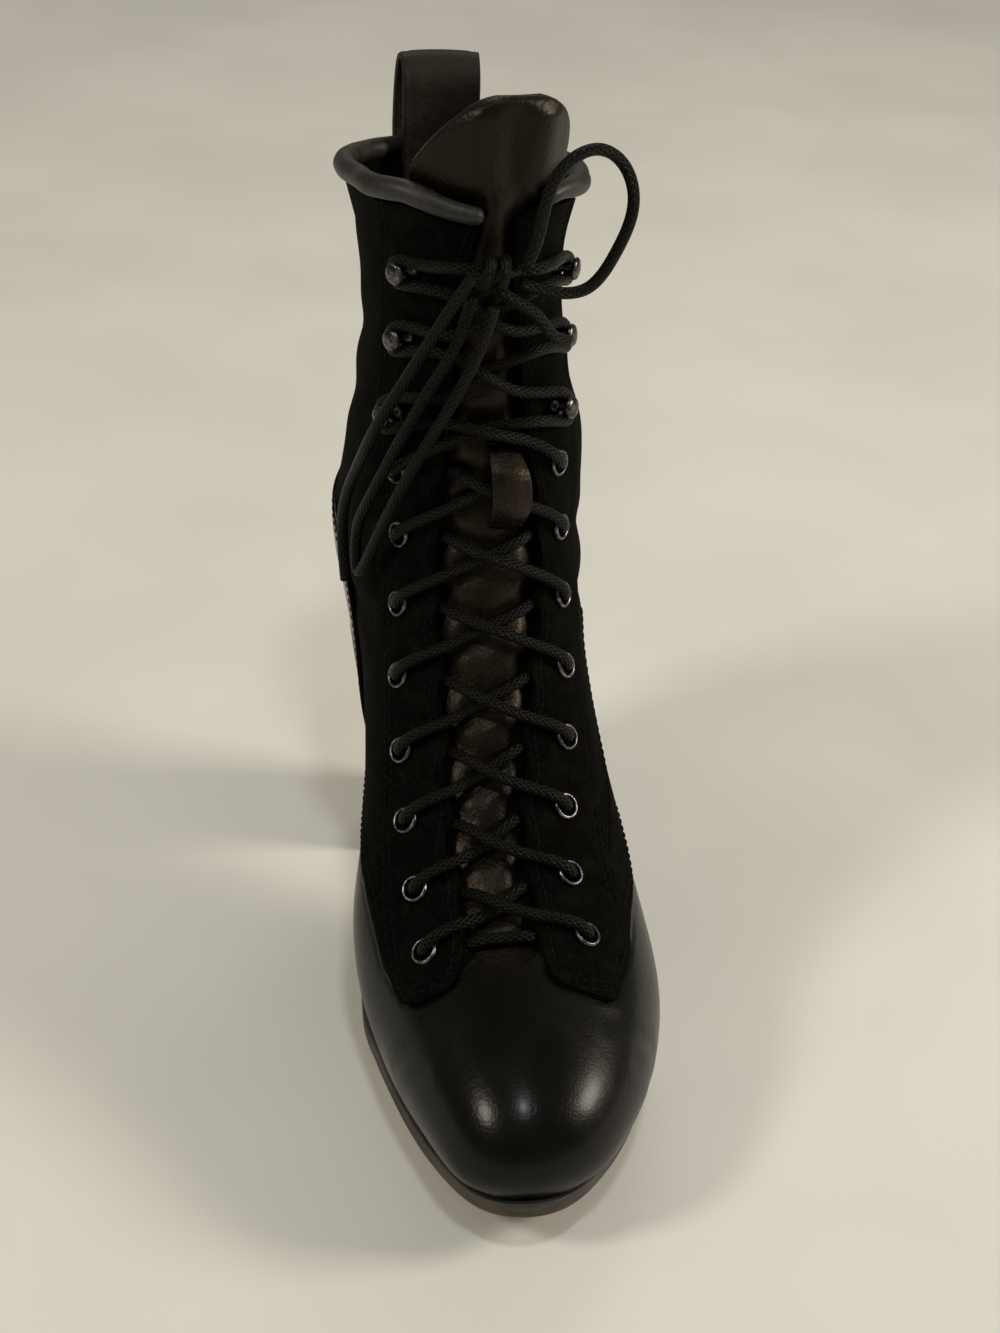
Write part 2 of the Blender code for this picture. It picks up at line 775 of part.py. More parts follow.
# eyestays over the upper, one each side of the throat
for side, label, edges in ((-1, "eyestay_inner", EYESTAY_INNER), (1, "eyestay_outer", EYESTAY_OUTER)):
    stay_near = Steady(column(edges, 0), column(edges, 1))
    stay_far = Steady(column(edges, 0), column(edges, 2))
    stay_rows = column(edges, 0)[:7] + spread(6.8, 12.4, 8) + spread(13.3, COLLAR - 0.08, 6)
    rows = []
    for t in stay_rows:
        near = max(stay_near(t), half_gap(t, side))
        rows.append([skin(t, side * d, STAY_LIFT) for d in spread(near, stay_far(t), 4)])
    sheet(label, rows, STAY, "suede", flip=side < 0)

# heel counter: the upper's own rows lifted, thickened and cut to the counter's outline from the side
bm = bmesh.new()
low_row = [i for i, t in enumerate(UPPER_ROWS) if t > 8.4][0]
high_row = [i for i, t in enumerate(UPPER_ROWS) if t < 15.4][-1]
counter_rows = [upper_row(t, COUNTER_LIFT) for t in UPPER_ROWS[low_row:high_row + 1]]
flank = len(UPPER_SHARES) - COUNTER_SKIP
for keep in (slice(0, flank), slice(-flank, None)):
    grid = [[bm.verts.new(world(p)) for p in row[keep]] for row in counter_rows]
    for line, above in zip(grid, grid[1:]):
        for j in range(len(line) - 1):
            bm.faces.new([line[j], line[j + 1], above[j + 1], above[j]])
made = finish_mesh("counter", bm, "leather", False)
thicken(made, COUNTER)
low_edge = spread(-14.0, COUNTER_SIDE[0][0] - 1.0, 9)
outline = [(f, feather(f) + 4.4 - 2.0 * ease(f / 60.0)) for f in low_edge] + list(COUNTER_SIDE)
bm = bmesh.new()
for side in (-70.0, 70.0):
    bm.faces.new([bm.verts.new(world((f, side, z))) for f, z in outline])
bm.verts.ensure_lookup_table()
count = len(outline)
for i in range(count):
    j = (i + 1) % count
    bm.faces.new([bm.verts[i], bm.verts[j], bm.verts[count + j], bm.verts[count + i]])
cutter = finish_mesh("counter_outline", bm, "leather", True)
parts.objects.unlink(cutter)
cutters.objects.link(cutter)
cutter.hide_render = True
cutter.display_type = "WIRE"
trim = made.modifiers.new("outline", "BOOLEAN")
trim.operation = "INTERSECT"
trim.solver = "EXACT"
trim.object = cutter

# rolled binding along the collar, from one facing round the back to the other
rim = []
for side in (-1, 1):
    whole = girth(collar_section(COLLAR, 200.0), side)
    reach = spread(half_gap(COLLAR, side) + 1.2, whole, 14)
    line = []
    for d in reach:
        lift = BINDING_LIFT - (BINDING_LIFT + 0.6) * ease((d - 34.0) / 16.0)
        edge = skin(COLLAR, side * d, lift)
        below = skin(COLLAR - 0.2, side * d, lift)
        rise = (edge - below) / np.linalg.norm(edge - below)
        line.append(edge + rise * (BINDING_R + GAP + 0.15))
    rim += line if side < 0 else line[::-1][1:]
tube("collar_binding", rim, BINDING_R, "leather")

# tongue under the facings, rising above the collar
TONGUE_ROWS = [4.25, 4.45, 4.7, 5.1] + spread(5.6, 18.0, 15) + [18.4, 18.7, 19.0, 19.2, 19.33, 19.4]
rows = []
for t in TONGUE_ROWS:
    across = spread(tongue_inner(t), tongue_outer(t), 7)
    rows.append([on_last(t, d) - outward(t, d) * TONGUE_DEEP for d in across])
sheet("tongue", rows, -TONGUE, "tongue")

# lace keeper on the tongue, bowed over the lace
rows = []
for t in column(KEEPER_BOW, 0):
    rows.append([on_last(t, d) + outward(t, d) * keeper_bow(t) for d in KEEPER_SIDE])
sheet("tongue_keeper", rows, KEEPER, "leather")

# pull loop over the back of the collar
rows = []
for f, z in LOOP_PATH:
    across = spread(-LOOP_HALF, LOOP_HALF, 5)
    rows.append([np.array([f + s * s / LOOP_CURVE, s + swing(f, z), z]) for s in across])
sheet("pull_loop", rows, LOOP, "leather", flip=True)


def plan_ring(margin_of, count, z_of):
    """Left and right points of the feather plan drawn out by a margin, from heel to toe."""
    first = PLAN[0][0]
    last = PLAN[-1][0]
    turns = [math.pi * i / (count - 1) for i in range(count)]
    stations = [0.5 * (first + last) - 0.5 * (last - first) * math.cos(turn) for turn in turns]
    ring = []
    for i, f in enumerate(stations):
        pair = []
        for side in (-1, 1):
            here = np.array([f, side * plan(f, side)])
            if i == 0:
                normal = np.array([-1.0, 0.0])
            elif i == count - 1:
                normal = np.array([1.0, 0.0])
            else:
                before = stations[i - 1]
                after = stations[i + 1]
                run = np.array([after - before, side * (plan(after, side) - plan(before, side))])
                run = run / np.linalg.norm(run)
                normal = np.array([-run[1], run[0]]) * side
            moved = here + normal * margin_of(f)
            z = z_of(moved[0])
            pair.append(np.array([moved[0], moved[1] + swing(moved[0], z), z]))
        ring.append(tuple(pair))
    return ring


def sole_height(share):
    """Height of the sole at a share of its thickness, from the feather edge down."""
    def height(f):
        top = feather(f) - SOLE_CLEAR
        return top + (under(f) - top) * share
    return height


SOLE_STATIONS = 31
rings = []
for inset, share in SOLE_EDGE:
    rings.append(plan_ring(lambda f: WELT - inset, SOLE_STATIONS, sole_height(share)))
slab("sole", rings, "sole")


def insole_height(lift):
    """Height of the insole over the feather edge."""
    return lambda f: feather(f) + lift


def insole_margin(f):
    """The insole keeps clear of the wall, more so where the heel tucks under."""
    return -(WALL + 0.9 + 4.6 * ease((110.0 - f) / 40.0))


slab("insole", [plan_ring(insole_margin, 26, insole_height(lift)) for lift in (GAP + INSOLE, GAP)], "insole")


def heel_ring(drop, back, front, half, z_low, follow):
    """Ring of the heel: round behind, straight at the breast."""
    ring = []
    centre = back + half
    for i in range(9):
        a = 0.5 * math.pi * i / 8
        f = centre - half * math.cos(a)
        s = half * math.sin(a)
        ring.append((f, s))
    for f in spread(centre, front, 4)[1:]:
        ring.append((f, half - 1.2 * (f - centre) / (front - centre)))
    out = []
    for f, s in ring:
        z = z_low
        if follow is not None:
            top = follow(f)
            z = top + (z_low - top) * drop
        out.append((np.array([f, -s, z]), np.array([f, s, z])))
    return out


def seat(f):
    """Underside of the sole less the clear space, where the heel is fixed."""
    return under(f) - GAP


base = LIFT_H + GAP
slab("heel", [heel_ring(drop, back, front, half, base, seat) for drop, back, front, half in HEEL], "heel")
foot = HEEL[-1]
slab("heel_top_lift", [heel_ring(1.0, foot[1], foot[2], foot[3], z, None) for z in (LIFT_H, 0.0)], "rubber")

# eyelets and hooks on the eyestays
EYELET_PROFILE = ((2.5, 0.0), (4.3, 0.0), (3.3, 1.0), (2.5, 0.0))
HOOK_PROFILE = (
    (0.0, 0.0),
    (3.7, 0.0),
    (3.4, 0.8),
    (1.5, 0.9),
    (1.5, 5.4),
    (4.0, 5.5),
    (3.2, 7.0),
    (0.0, 7.4),
)
ON_STAY = STAY_LIFT + STAY + GAP


def lace_row(i):
    """Nominal section of a lace row."""
    if i < EYELET_ROWS:
        return FIRST_ROW + ROW_PITCH * i
    return FIRST_HOOK + HOOK_PITCH * (i - EYELET_ROWS)


for i in range(EYELET_ROWS + HOOK_ROWS):
    t = lace_row(i)
    for side, tag in ((-1, "inner"), (1, "outer")):
        d = side * eyelet_side(t, side)
        s = collar_section(t, d)
        n = outward(s, d)
        place = world(on_last(s, d) + n * (ON_STAY + 0.15))
        axis = world(n).normalized()
        if i < EYELET_ROWS:
            turned("eyelet_%s_%d" % (tag, i + 1), EYELET_PROFILE, place, axis, "metal", 8)
        else:
            turned("hook_%s_%d" % (tag, i + 1 - EYELET_ROWS), HOOK_PROFILE, place, axis, "metal", 8)

# lace: over the facing, across the tongue and down to the far facing
OVER_STAY = ON_STAY + LACE_R + 0.1
ON_TONGUE = LACE_R - TONGUE_DEEP + 0.6


def strand(marks, side, count):
    """Smooth strand through marks of section, distance and lift, begun on one side."""
    route = [skin(t, side * d, lift) for t, d, lift in marks]
    return smooth_route(route, count)


def cross_marks(low, high, side):
    """Marks of a strand from one eyelet to the facing across."""
    return (
        (low + 0.14, eyelet_side(low, side) - 7.4, OVER_STAY + 0.25),
        (low + 0.26, half_gap(low, side) - 2.0, OVER_STAY),
        (0.5 * (low + high) - 0.03, side * throat_middle(low), 1.7),
        (high - 0.26, LACE_R + 1.0 - half_gap(high, -side), ON_TONGUE),
    )


for i in range(EYELET_ROWS - 1):
    low = lace_row(i)
    high = lace_row(i + 1)
    pair = [strand(cross_marks(low, high, side), side, 5) for side in (-1, 1)]
    crossing("lace_cross_%d" % (i + 1), pair[0], pair[1])

low = lace_row(0)
ends = spread(LACE_R + 0.8 - half_gap(low, -1), half_gap(low, 1) - LACE_R - 0.8, 5)
tube("lace_bar", smooth_route([skin(low, d, ON_TONGUE) for d in ends], 7), LACE_R, "lace")

AT_HOOK = ON_STAY + 1.2 + LACE_R


def hook_marks(low, high, side, from_eyelet):
    """Marks of a strand from an eyelet or hook to the hook across."""
    away, rise, lift = (7.4, 0.14, OVER_STAY) if from_eyelet else (4.4, 0.2, AT_HOOK)
    return (
        (low + rise, eyelet_side(low, side) - away, lift),
        (low + 0.3, half_gap(low, side) - 3.0, OVER_STAY - 0.1),
        (0.5 * (low + high), side * throat_middle(low), 2.6),
        (high - 0.3, 3.0 - half_gap(high, -side), OVER_STAY - 0.1),
        (high - 0.2, 4.4 - eyelet_side(high, -side), AT_HOOK),
    )


for i in range(HOOK_ROWS):
    low = lace_row(EYELET_ROWS - 1 + i)
    high = lace_row(EYELET_ROWS + i)
    pair = [strand(hook_marks(low, high, side, i == 0), side, 6) for side in (-1, 1)]
    crossing("lace_hook_cross_%d" % (i + 1), pair[0], pair[1])

top = lace_row(EYELET_ROWS + HOOK_ROWS - 1)
for side, tag in ((-1, "inner"), (1, "outer")):
    start = skin(top + 0.22, side * (eyelet_side(top, side) - 6.4), OVER_STAY + 0.1)
    knot_end = np.array(KNOT[0 if side < 0 else -1])
    along = knot_end + np.array([-0.6, side * 3.2, 0.4])
    route = [start, 0.5 * (start + along) + np.array([0.8, 0.0, 0.2]), along]
    tube("lace_top_" + tag, smooth_route(route, 5), LACE_R, "lace")

# loose lace
tube("lace_knot", smooth_route(KNOT, 5), KNOT_R, "lace")
tube("lace_loop_right", smooth_route(LOOP_RIGHT, 15), LACE_R, "lace")
tube("lace_loop_hanging", smooth_route(LOOP_HANG, 18), LACE_R, "lace")
tube("lace_end_left", smooth_route(END_LEFT, 11), LACE_R, "lace")
tube("lace_end_right", smooth_route(END_RIGHT, 5), LACE_R, "lace")
cords.update(("lace_knot", "lace_loop_right", "lace_loop_hanging", "lace_end_left", "lace_end_right"))

# stand the part on the origin by the middle of its box, loose lace left out
bpy.context.view_layer.update()
graph = bpy.context.evaluated_depsgraph_get()
low_corner = Vector((1e9, 1e9, 1e9))
high_corner = Vector((-1e9, -1e9, -1e9))
for piece in parts.objects:
    if piece.name in cords:
        continue
    solid = piece.evaluated_get(graph)
    mesh = solid.to_mesh()
    for v in mesh.vertices:
        for k in range(3):
            low_corner[k] = min(low_corner[k], v.co[k])
            high_corner[k] = max(high_corner[k], v.co[k])
    solid.to_mesh_clear()
middle_point = 0.5 * (low_corner + high_corner)
shift = Matrix.Translation((-middle_point.x, -middle_point.y, 0.0))
for piece in list(parts.objects) + list(cutters.objects):
    piece.data.transform(shift)
bpy.context.view_layer.update()
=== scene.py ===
"""Looks of the heeled lace-up boot: leather, suede, stitching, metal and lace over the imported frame.

Pieces are in metres in the row frame. Tables are in millimetres: forward from the back of the heel,
side (+ is the outer side of the foot) and up from the floor.
"""

import logging
import math
from dataclasses import dataclass, field
from enum import Enum
from typing import Any, Callable, Optional, Sequence, Union

import bmesh
import bpy
import numpy as np
from mathutils import Matrix, Vector

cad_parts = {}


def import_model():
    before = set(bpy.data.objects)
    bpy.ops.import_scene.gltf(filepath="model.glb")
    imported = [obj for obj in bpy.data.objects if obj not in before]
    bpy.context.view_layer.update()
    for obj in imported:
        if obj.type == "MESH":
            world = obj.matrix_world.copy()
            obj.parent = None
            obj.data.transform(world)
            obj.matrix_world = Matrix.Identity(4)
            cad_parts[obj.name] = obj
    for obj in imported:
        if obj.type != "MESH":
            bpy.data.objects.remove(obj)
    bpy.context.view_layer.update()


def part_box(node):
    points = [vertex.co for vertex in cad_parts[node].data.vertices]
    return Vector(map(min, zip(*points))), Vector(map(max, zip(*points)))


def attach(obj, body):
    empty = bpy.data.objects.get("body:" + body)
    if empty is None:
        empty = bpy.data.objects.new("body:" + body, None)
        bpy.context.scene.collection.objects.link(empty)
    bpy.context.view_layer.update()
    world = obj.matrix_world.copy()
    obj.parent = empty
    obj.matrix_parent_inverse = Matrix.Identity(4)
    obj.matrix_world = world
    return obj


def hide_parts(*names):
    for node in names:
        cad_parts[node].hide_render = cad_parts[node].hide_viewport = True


MM = 0.001
RIM_ANGLE = 50.0
LOG = logging.getLogger("boot")
Number = Union[float, "Value"]
Triple = tuple[float, float, float]
Marks = Sequence[Sequence[float]]


class Slot(Enum):
    """Material slots of the record."""

    UPPER = "suede_and_leather"
    SUEDE = "suede"
    LEATHER = "leather"
    PEBBLED = "pebbled_leather"
    SOLE = "sole_edge"
    INSOLE = "insole"
    HEEL = "heel"
    RUBBER = "rubber"
    METAL = "metal"
    LACE = "lace"


# plan of the feather edge: forward, inner half width, outer half width
PLAN = (
    (6.0, 28.5, 28.5), (25.0, 29.2, 29.2), (40.0, 29.5, 29.5), (60.0, 29.0, 29.5), (85.0, 26.0, 30.5),
    (110.0, 28.0, 36.0), (132.0, 35.6, 42.5), (148.0, 36.6, 45.0), (162.0, 33.6, 43.6), (178.0, 30.0, 39.8),
    (192.0, 26.4, 34.6), (203.0, 23.4, 29.6), (214.0, 20.0, 23.8), (223.0, 16.6, 18.2), (230.0, 12.6, 12.8),
    (234.4, 7.6, 7.6), (236.5, 0.0, 0.0),
)
# round of the back: up, depth of the round
BACK_ROUND = (
    (85.0, 29.0), (106.0, 32.0), (137.0, 39.0), (170.0, 43.0), (203.0, 43.5), (250.0, 45.5), (302.0, 47.0),
)
# side view of the sole: forward, feather edge, underside
PROFILE = (
    (0.0, 85.0, 80.6), (15.0, 84.5, 80.1), (35.0, 82.0, 77.6), (55.0, 76.5, 72.0), (80.0, 61.0, 56.4),
    (105.0, 40.5, 35.5), (130.0, 21.5, 15.8), (150.0, 11.5, 4.9), (158.0, 9.0, 1.6), (166.0, 7.6, 0.0),
    (184.0, 7.3, 0.0), (196.0, 9.0, 1.6), (208.0, 11.8, 4.9), (220.0, 15.4, 8.9), (240.0, 22.0, 16.0),
)
# fan of sections from toe to collar: top forward, top up, low forward, low up (None is the feather edge),
# inner half, outer half, share of the height where it is widest, crown, lean of the crest
SECTIONS = (
    (236.8, 21.2, 231.0, None, 12.0, 12.0, 0.05, 2.0, 0.0),
    (238.4, 30.0, 222.0, None, 19.0, 20.5, 0.25, 2.0, -0.5),
    (233.5, 40.5, 209.5, None, 24.5, 28.5, 0.32, 2.0, -0.7),
    (221.5, 48.5, 195.5, None, 29.5, 36.0, 0.34, 2.0, -1.0),
    (205.0, 54.5, 179.5, None, 34.5, 42.2, 0.34, 2.0, -1.0),
    (187.0, 60.0, 161.5, None, 38.5, 46.5, 0.34, 2.0, -1.0),
    (169.0, 66.5, 143.5, None, 41.0, 47.5, 0.34, 1.95, -1.5),
    (153.0, 77.0, 124.0, None, 40.0, 45.5, 0.36, 1.9, -2.5),
    (138.5, 91.0, 104.0, None, 35.5, 41.5, 0.38, 1.9, -2.0),
    (126.5, 106.5, 83.0, None, 33.0, 37.5, 0.40, 1.9, -1.5),
    (115.5, 124.0, 60.0, None, 32.0, 35.5, 0.40, 1.9, -1.0),
    (107.5, 142.5, 36.0, None, 33.0, 35.5, 0.42, 1.9, -0.5),
    (102.5, 161.0, 6.0, None, 35.5, 36.0, 0.45, 2.0, 0.0),
    (99.5, 179.5, 1.0, 104.0, 37.0, 36.5, 0.48, 2.0, 0.0),
    (98.0, 198.0, 3.5, 132.0, 34.0, 33.5, 0.50, 2.0, 0.0),
    (97.5, 214.0, 7.0, 161.0, 29.8, 29.5, 0.50, 2.0, 0.0),
    (97.5, 229.0, 8.0, 190.0, 27.0, 28.5, 0.50, 2.0, 0.0),
    (98.0, 241.0, 7.0, 214.0, 28.5, 30.0, 0.50, 2.0, 0.0),
    (98.5, 250.0, 4.5, 235.5, 33.5, 34.0, 0.50, 2.0, 0.0),
    (101.0, 268.0, 3.0, 256.0, 37.0, 38.0, 0.50, 2.0, 0.0),
    (105.0, 288.0, 0.0, 282.0, 39.0, 40.0, 0.50, 2.0, 0.0),
)
HEEL_SEAT = 12
# throat: section, inner edge, outer edge
THROAT = (
    (5.4, 13.8, 7.5), (6.5, 12.5, 7.2), (8.0, 12.5, 8.1), (9.5, 13.2, 10.6), (11.0, 14.6, 12.8),
    (12.7, 12.2, 11.4),
    (13.8, 10.0, 10.6), (15.3, 7.6, 10.0), (16.9, 4.4, 9.4), (18.0, 1.8, 9.0),
)
# eyelets and hooks: section, inner place, outer place
EYELETS = (
    (5.4, 25.0, 21.5), (6.5, 25.0, 20.0), (8.0, 27.0, 22.5), (9.5, 29.0, 25.5), (11.0, 30.0, 26.5),
    (12.7, 29.5, 24.5), (13.63, 28.5, 24.0), (14.95, 23.5, 26.5), (16.27, 22.0, 29.5), (18.0, 22.0, 29.5),
)
# eyestay of each side: section, near edge, far edge
EYESTAY = {
    -1: ((4.70, 23.5, 29.5), (4.74, 21.0, 33.0), (4.80, 19.0, 35.2), (4.90, 17.4, 36.2), (5.2, 15.0, 38.0),
         (5.5, 14.0, 39.0), (6.0, 13.2, 39.2), (7.0, 12.6, 37.0), (8.5, 12.8, 37.0), (11.0, 14.7, 40.0),
         (14.0, 9.8, 38.5), (18.0, 1.9, 37.0)),
    1: ((4.40, 26.0, 28.6), (4.44, 21.5, 29.0), (4.50, 16.6, 29.4), (4.62, 11.6, 30.5), (4.80, 8.8, 32.0),
        (5.1, 7.7, 35.0),
        (5.5, 7.5, 38.0), (6.0, 7.4, 38.5), (7.0, 7.6, 36.5), (8.5, 8.9, 37.0), (11.0, 12.9, 40.0),
        (14.0, 10.6, 38.5), (18.0, 9.1, 37.0)),
}
# tongue: section, inner edge, outer edge
TONGUE_EDGE = (
    (4.25, -12.0, 12.0), (4.7, -20.0, 20.0), (6.0, -24.0, 24.0), (8.0, -27.0, 27.0), (11.0, -31.0, 31.0),
    (15.0, -29.5, 29.5), (17.0, -27.5, 31.5), (18.0, -26.5, 33.0), (18.31, -26.2, 33.4), (18.6, -22.3, 33.4),
    (18.87, -17.0, 32.4), (19.1, -11.2, 29.5), (19.3, -4.6, 23.5), (19.4, 3.5, 15.5),
)
# upper edge of the counter from the side: forward, up
COUNTER_SIDE = (
    (84.0, 61.0), (76.0, 80.0), (64.0, 99.0), (49.0, 116.0), (32.0, 131.0), (14.0, 142.0), (-14.0, 149.0),
)
# lace keeper: section, lift
KEEPER_BOW = (
    (11.5, -2.4), (11.62, 0.6), (11.78, 3.9), (11.95, 5.7), (12.16, 6.5), (12.34, 6.6), (12.5, 5.9),
    (12.72, 2.4),
    (12.92, -2.4),
)
# middle line of the pull loop: forward, up
LOOP_PATH = (
    (5.4, 196.0), (5.4, 205.0), (4.2, 215.0), (1.6, 225.5), (-0.8, 234.0), (-1.6, 242.0), (-0.8, 250.0),
    (1.4, 256.6), (4.2, 259.2), (7.0, 257.2), (8.8, 251.0), (10.0, 243.0), (11.2, 234.0), (12.6, 225.0),
)
# heel: drop, back, front, half width
HEEL = ((0.0, 6.6, 60.0, 28.0), (0.3, 9.0, 57.0, 26.6), (0.65, 11.0, 54.5, 25.4), (1.0, 12.0, 53.0, 25.0))
# loose lace, forward, side, up
LOOP_RIGHT = (
    (107.5, 3.0, 228.5), (107.0, 11.5, 226.0), (105.5, 21.5, 226.0), (103.5, 29.5, 235.5),
    (102.5, 33.5, 250.0),
    (103.0, 29.0, 261.0), (105.0, 21.5, 265.0), (107.5, 13.0, 261.5), (109.0, 8.0, 251.0),
    (110.0, 6.0, 241.0),
    (110.0, 4.0, 235.2),
)
LOOP_HANG = (
    (109.6, -10.4, 225.5), (107.0, -13.5, 211.5), (104.5, -20.5, 195.5), (96.5, -28.0, 174.0),
    (87.0, -34.5, 152.0), (82.0, -36.5, 137.0), (84.0, -36.0, 128.5), (90.0, -33.5, 137.0),
    (98.0, -29.0, 155.5),
    (105.0, -22.0, 176.5), (108.0, -15.0, 192.0), (110.2, -8.6, 208.0), (111.4, -4.6, 223.0),
)
END_LEFT = (
    (112.6, -11.5, 232.0), (109.5, -18.0, 219.0), (103.0, -26.0, 200.0), (97.0, -33.0, 183.0),
    (84.0, -36.6, 164.0), (72.0, -38.8, 146.0), (68.0, -39.0, 132.0), (71.0, -38.0, 118.0),
)
END_RIGHT = (
    (107.4, -6.2, 229.5), (109.5, 0.5, 225.0), (108.0, 8.0, 219.5), (106.0, 13.0, 213.0),
    (102.8, 18.2, 209.6),
)
KNOT = ((106.3, -9.1, 232.0), (107.6, -3.5, 231.8), (106.3, 1.7, 231.6))


def ease(u: Any) -> np.ndarray:
    """Smooth step from 0 to 1."""
    u = np.clip(u, 0.0, 1.0)
    return u * u * (3.0 - 2.0 * u)


def bell(distance: Any, width: float) -> np.ndarray:
    """Soft round hump of height 1 over a distance."""
    return np.exp(-(np.asarray(distance, float) / width) ** 2)


def columns(table: Sequence[Sequence[float]], index: int) -> list[float]:
    """One column of a table."""
    return [row[index] for row in table]


def lengths(points: np.ndarray) -> np.ndarray:
    """Distance of each point from the first, along the line."""
    return np.concatenate([[0.0], np.cumsum(np.linalg.norm(np.diff(points, axis=0), axis=1))])


def unit(vectors: np.ndarray) -> np.ndarray:
    """Vectors brought to length 1."""
    return vectors / np.linalg.norm(vectors, axis=-1, keepdims=True)


class Curve:
    """Curve through one column of a short table."""

    def __init__(self, xs: Sequence[float], ys: Sequence[float]) -> None:
        """Keep the table: rising places and the values there.

        Args:
            xs: Rising places along the column.
            ys: Values at those places.
        """
        self.xs = np.array(xs, float)
        self.ys = np.array(ys, float)
        self.step = np.diff(self.xs)

    def span(self, x: np.ndarray) -> np.ndarray:
        """Number of the span of the table that each place is in."""
        return np.clip(np.searchsorted(self.xs, x) - 1, 0, len(self.step) - 1)


class Spline(Curve):
    """Natural cubic through the column."""

    def __init__(self, xs: Sequence[float], ys: Sequence[float]) -> None:
        """Solve the bends of the cubic.

        Args:
            xs: Rising places along the column.
            ys: Values at those places.
        """
        super().__init__(xs, ys)
        step = self.step
        rows = np.eye(len(self.xs))
        right = np.zeros(len(self.xs))
        for i in range(1, len(self.xs) - 1):
            rows[i, i - 1:i + 2] = step[i - 1], 2.0 * (step[i - 1] + step[i]), step[i]
            ahead = (self.ys[i + 1] - self.ys[i]) / step[i]
            right[i] = 6.0 * (ahead - (self.ys[i] - self.ys[i - 1]) / step[i - 1])
        self.bend = np.linalg.solve(rows, right)

    def __call__(self, x: Any) -> np.ndarray:
        """Values of the curve at places along the column.

        Args:
            x: Places along the column.
        Returns:
            One value for each place.
        """
        x = np.asarray(x, float)
        i = self.span(x)
        h = self.step[i]
        u = (self.xs[i + 1] - x) / h
        v = (x - self.xs[i]) / h
        curve = ((u ** 3 - u) * self.bend[i] + (v ** 3 - v) * self.bend[i + 1]) * h * h / 6.0
        return u * self.ys[i] + v * self.ys[i + 1] + curve


class Steady(Curve):
    """Monotone cubic through the column, with flats kept flat."""

    def __init__(self, xs: Sequence[float], ys: Sequence[float]) -> None:
        """Work out the slopes.

        Args:
            xs: Rising places along the column.
            ys: Values at those places.
        """
        super().__init__(xs, ys)
        rise = np.diff(self.ys) / self.step
        self.slope = np.zeros(len(self.xs))
        self.slope[0] = rise[0]
        self.slope[-1] = rise[-1]
        for i in range(1, len(self.xs) - 1):
            if rise[i - 1] * rise[i] > 0.0:
                a = 2.0 * self.step[i] + self.step[i - 1]
                b = self.step[i] + 2.0 * self.step[i - 1]
                self.slope[i] = (a + b) / (a / rise[i - 1] + b / rise[i])

    def __call__(self, x: Any) -> np.ndarray:
        """Values of the curve at places along the column, held at its ends.

        Args:
            x: Places along the column.
        Returns:
            One value for each place.
        """
        x = np.clip(np.asarray(x, float), self.xs[0], self.xs[-1])
        i = self.span(x)
        h = self.step[i]
        t = (x - self.xs[i]) / h
        low = (2 * t ** 3 - 3 * t ** 2 + 1) * self.ys[i] + (t ** 3 - 2 * t ** 2 + t) * h * self.slope[i]
        high = (3 * t ** 2 - 2 * t ** 3) * self.ys[i + 1] + (t ** 3 - t ** 2) * h * self.slope[i + 1]
        return low + high


def by_side(table: Sequence[Sequence[float]]) -> dict[int, Steady]:
    """Curves of the inner and the outer column of a table."""
    return {side: Steady(columns(table, 0), columns(table, k)) for side, k in ((-1, 1), (1, 2))}


def smooth_route(points: Any, pitch: float) -> np.ndarray:
    """Even points on a smooth curve through given ones.

    Args:
        points: Given points.
        pitch: Distance between two points of the route.
    Returns:
        The route's points.
    """
    points = np.array(points, float)
    run = lengths(points)
    fine = np.linspace(0.0, run[-1], 30 * len(points))
    line = np.stack([Spline(run, points[:, k])(fine) for k in range(points.shape[1])], 1)
    along = lengths(line)
    even = np.linspace(0.0, along[-1], max(int(round(along[-1] / pitch)), 2) + 1)
    return np.stack([np.interp(even, along, line[:, k]) for k in range(points.shape[1])], 1)


def distance_to_line(points: np.ndarray, line: np.ndarray) -> np.ndarray:
    """Distance of each point from a polyline.

    Args:
        points: Points to measure from, any number of axes with the coordinates last.
        line: Points of the polyline.
    Returns:
        The distances, in the shape of the points.
    """
    shape = points.shape[:-1]
    flat = points.reshape(-1, points.shape[-1])
    best = np.full(len(flat), 1e9)
    for a, b in zip(line[:-1], line[1:]):
        run = b - a
        u = np.clip((flat - a) @ run / max(float(run @ run), 1e-12), 0.0, 1.0)
        best = np.minimum(best, np.linalg.norm(flat - a - u[:, None] * run, axis=1))
    return best.reshape(shape)


def inside_outline(x: np.ndarray, y: np.ndarray, outline: np.ndarray) -> np.ndarray:
    """Whether points lie inside a closed outline.

    Args:
        x: First coordinates.
        y: Second coordinates.
        outline: Corners of the outline.
    Returns:
        True where a point is inside.
    """
    inside = np.zeros(x.shape, bool)
    for (ax, ay), (bx, by) in zip(outline, np.roll(outline, -1, axis=0)):
        crosses = (ay > y) != (by > y)
        place = ax + (y - ay) * (bx - ax) / np.where(by == ay, 1e-9, by - ay)
        inside ^= crosses & (x < place)
    return inside


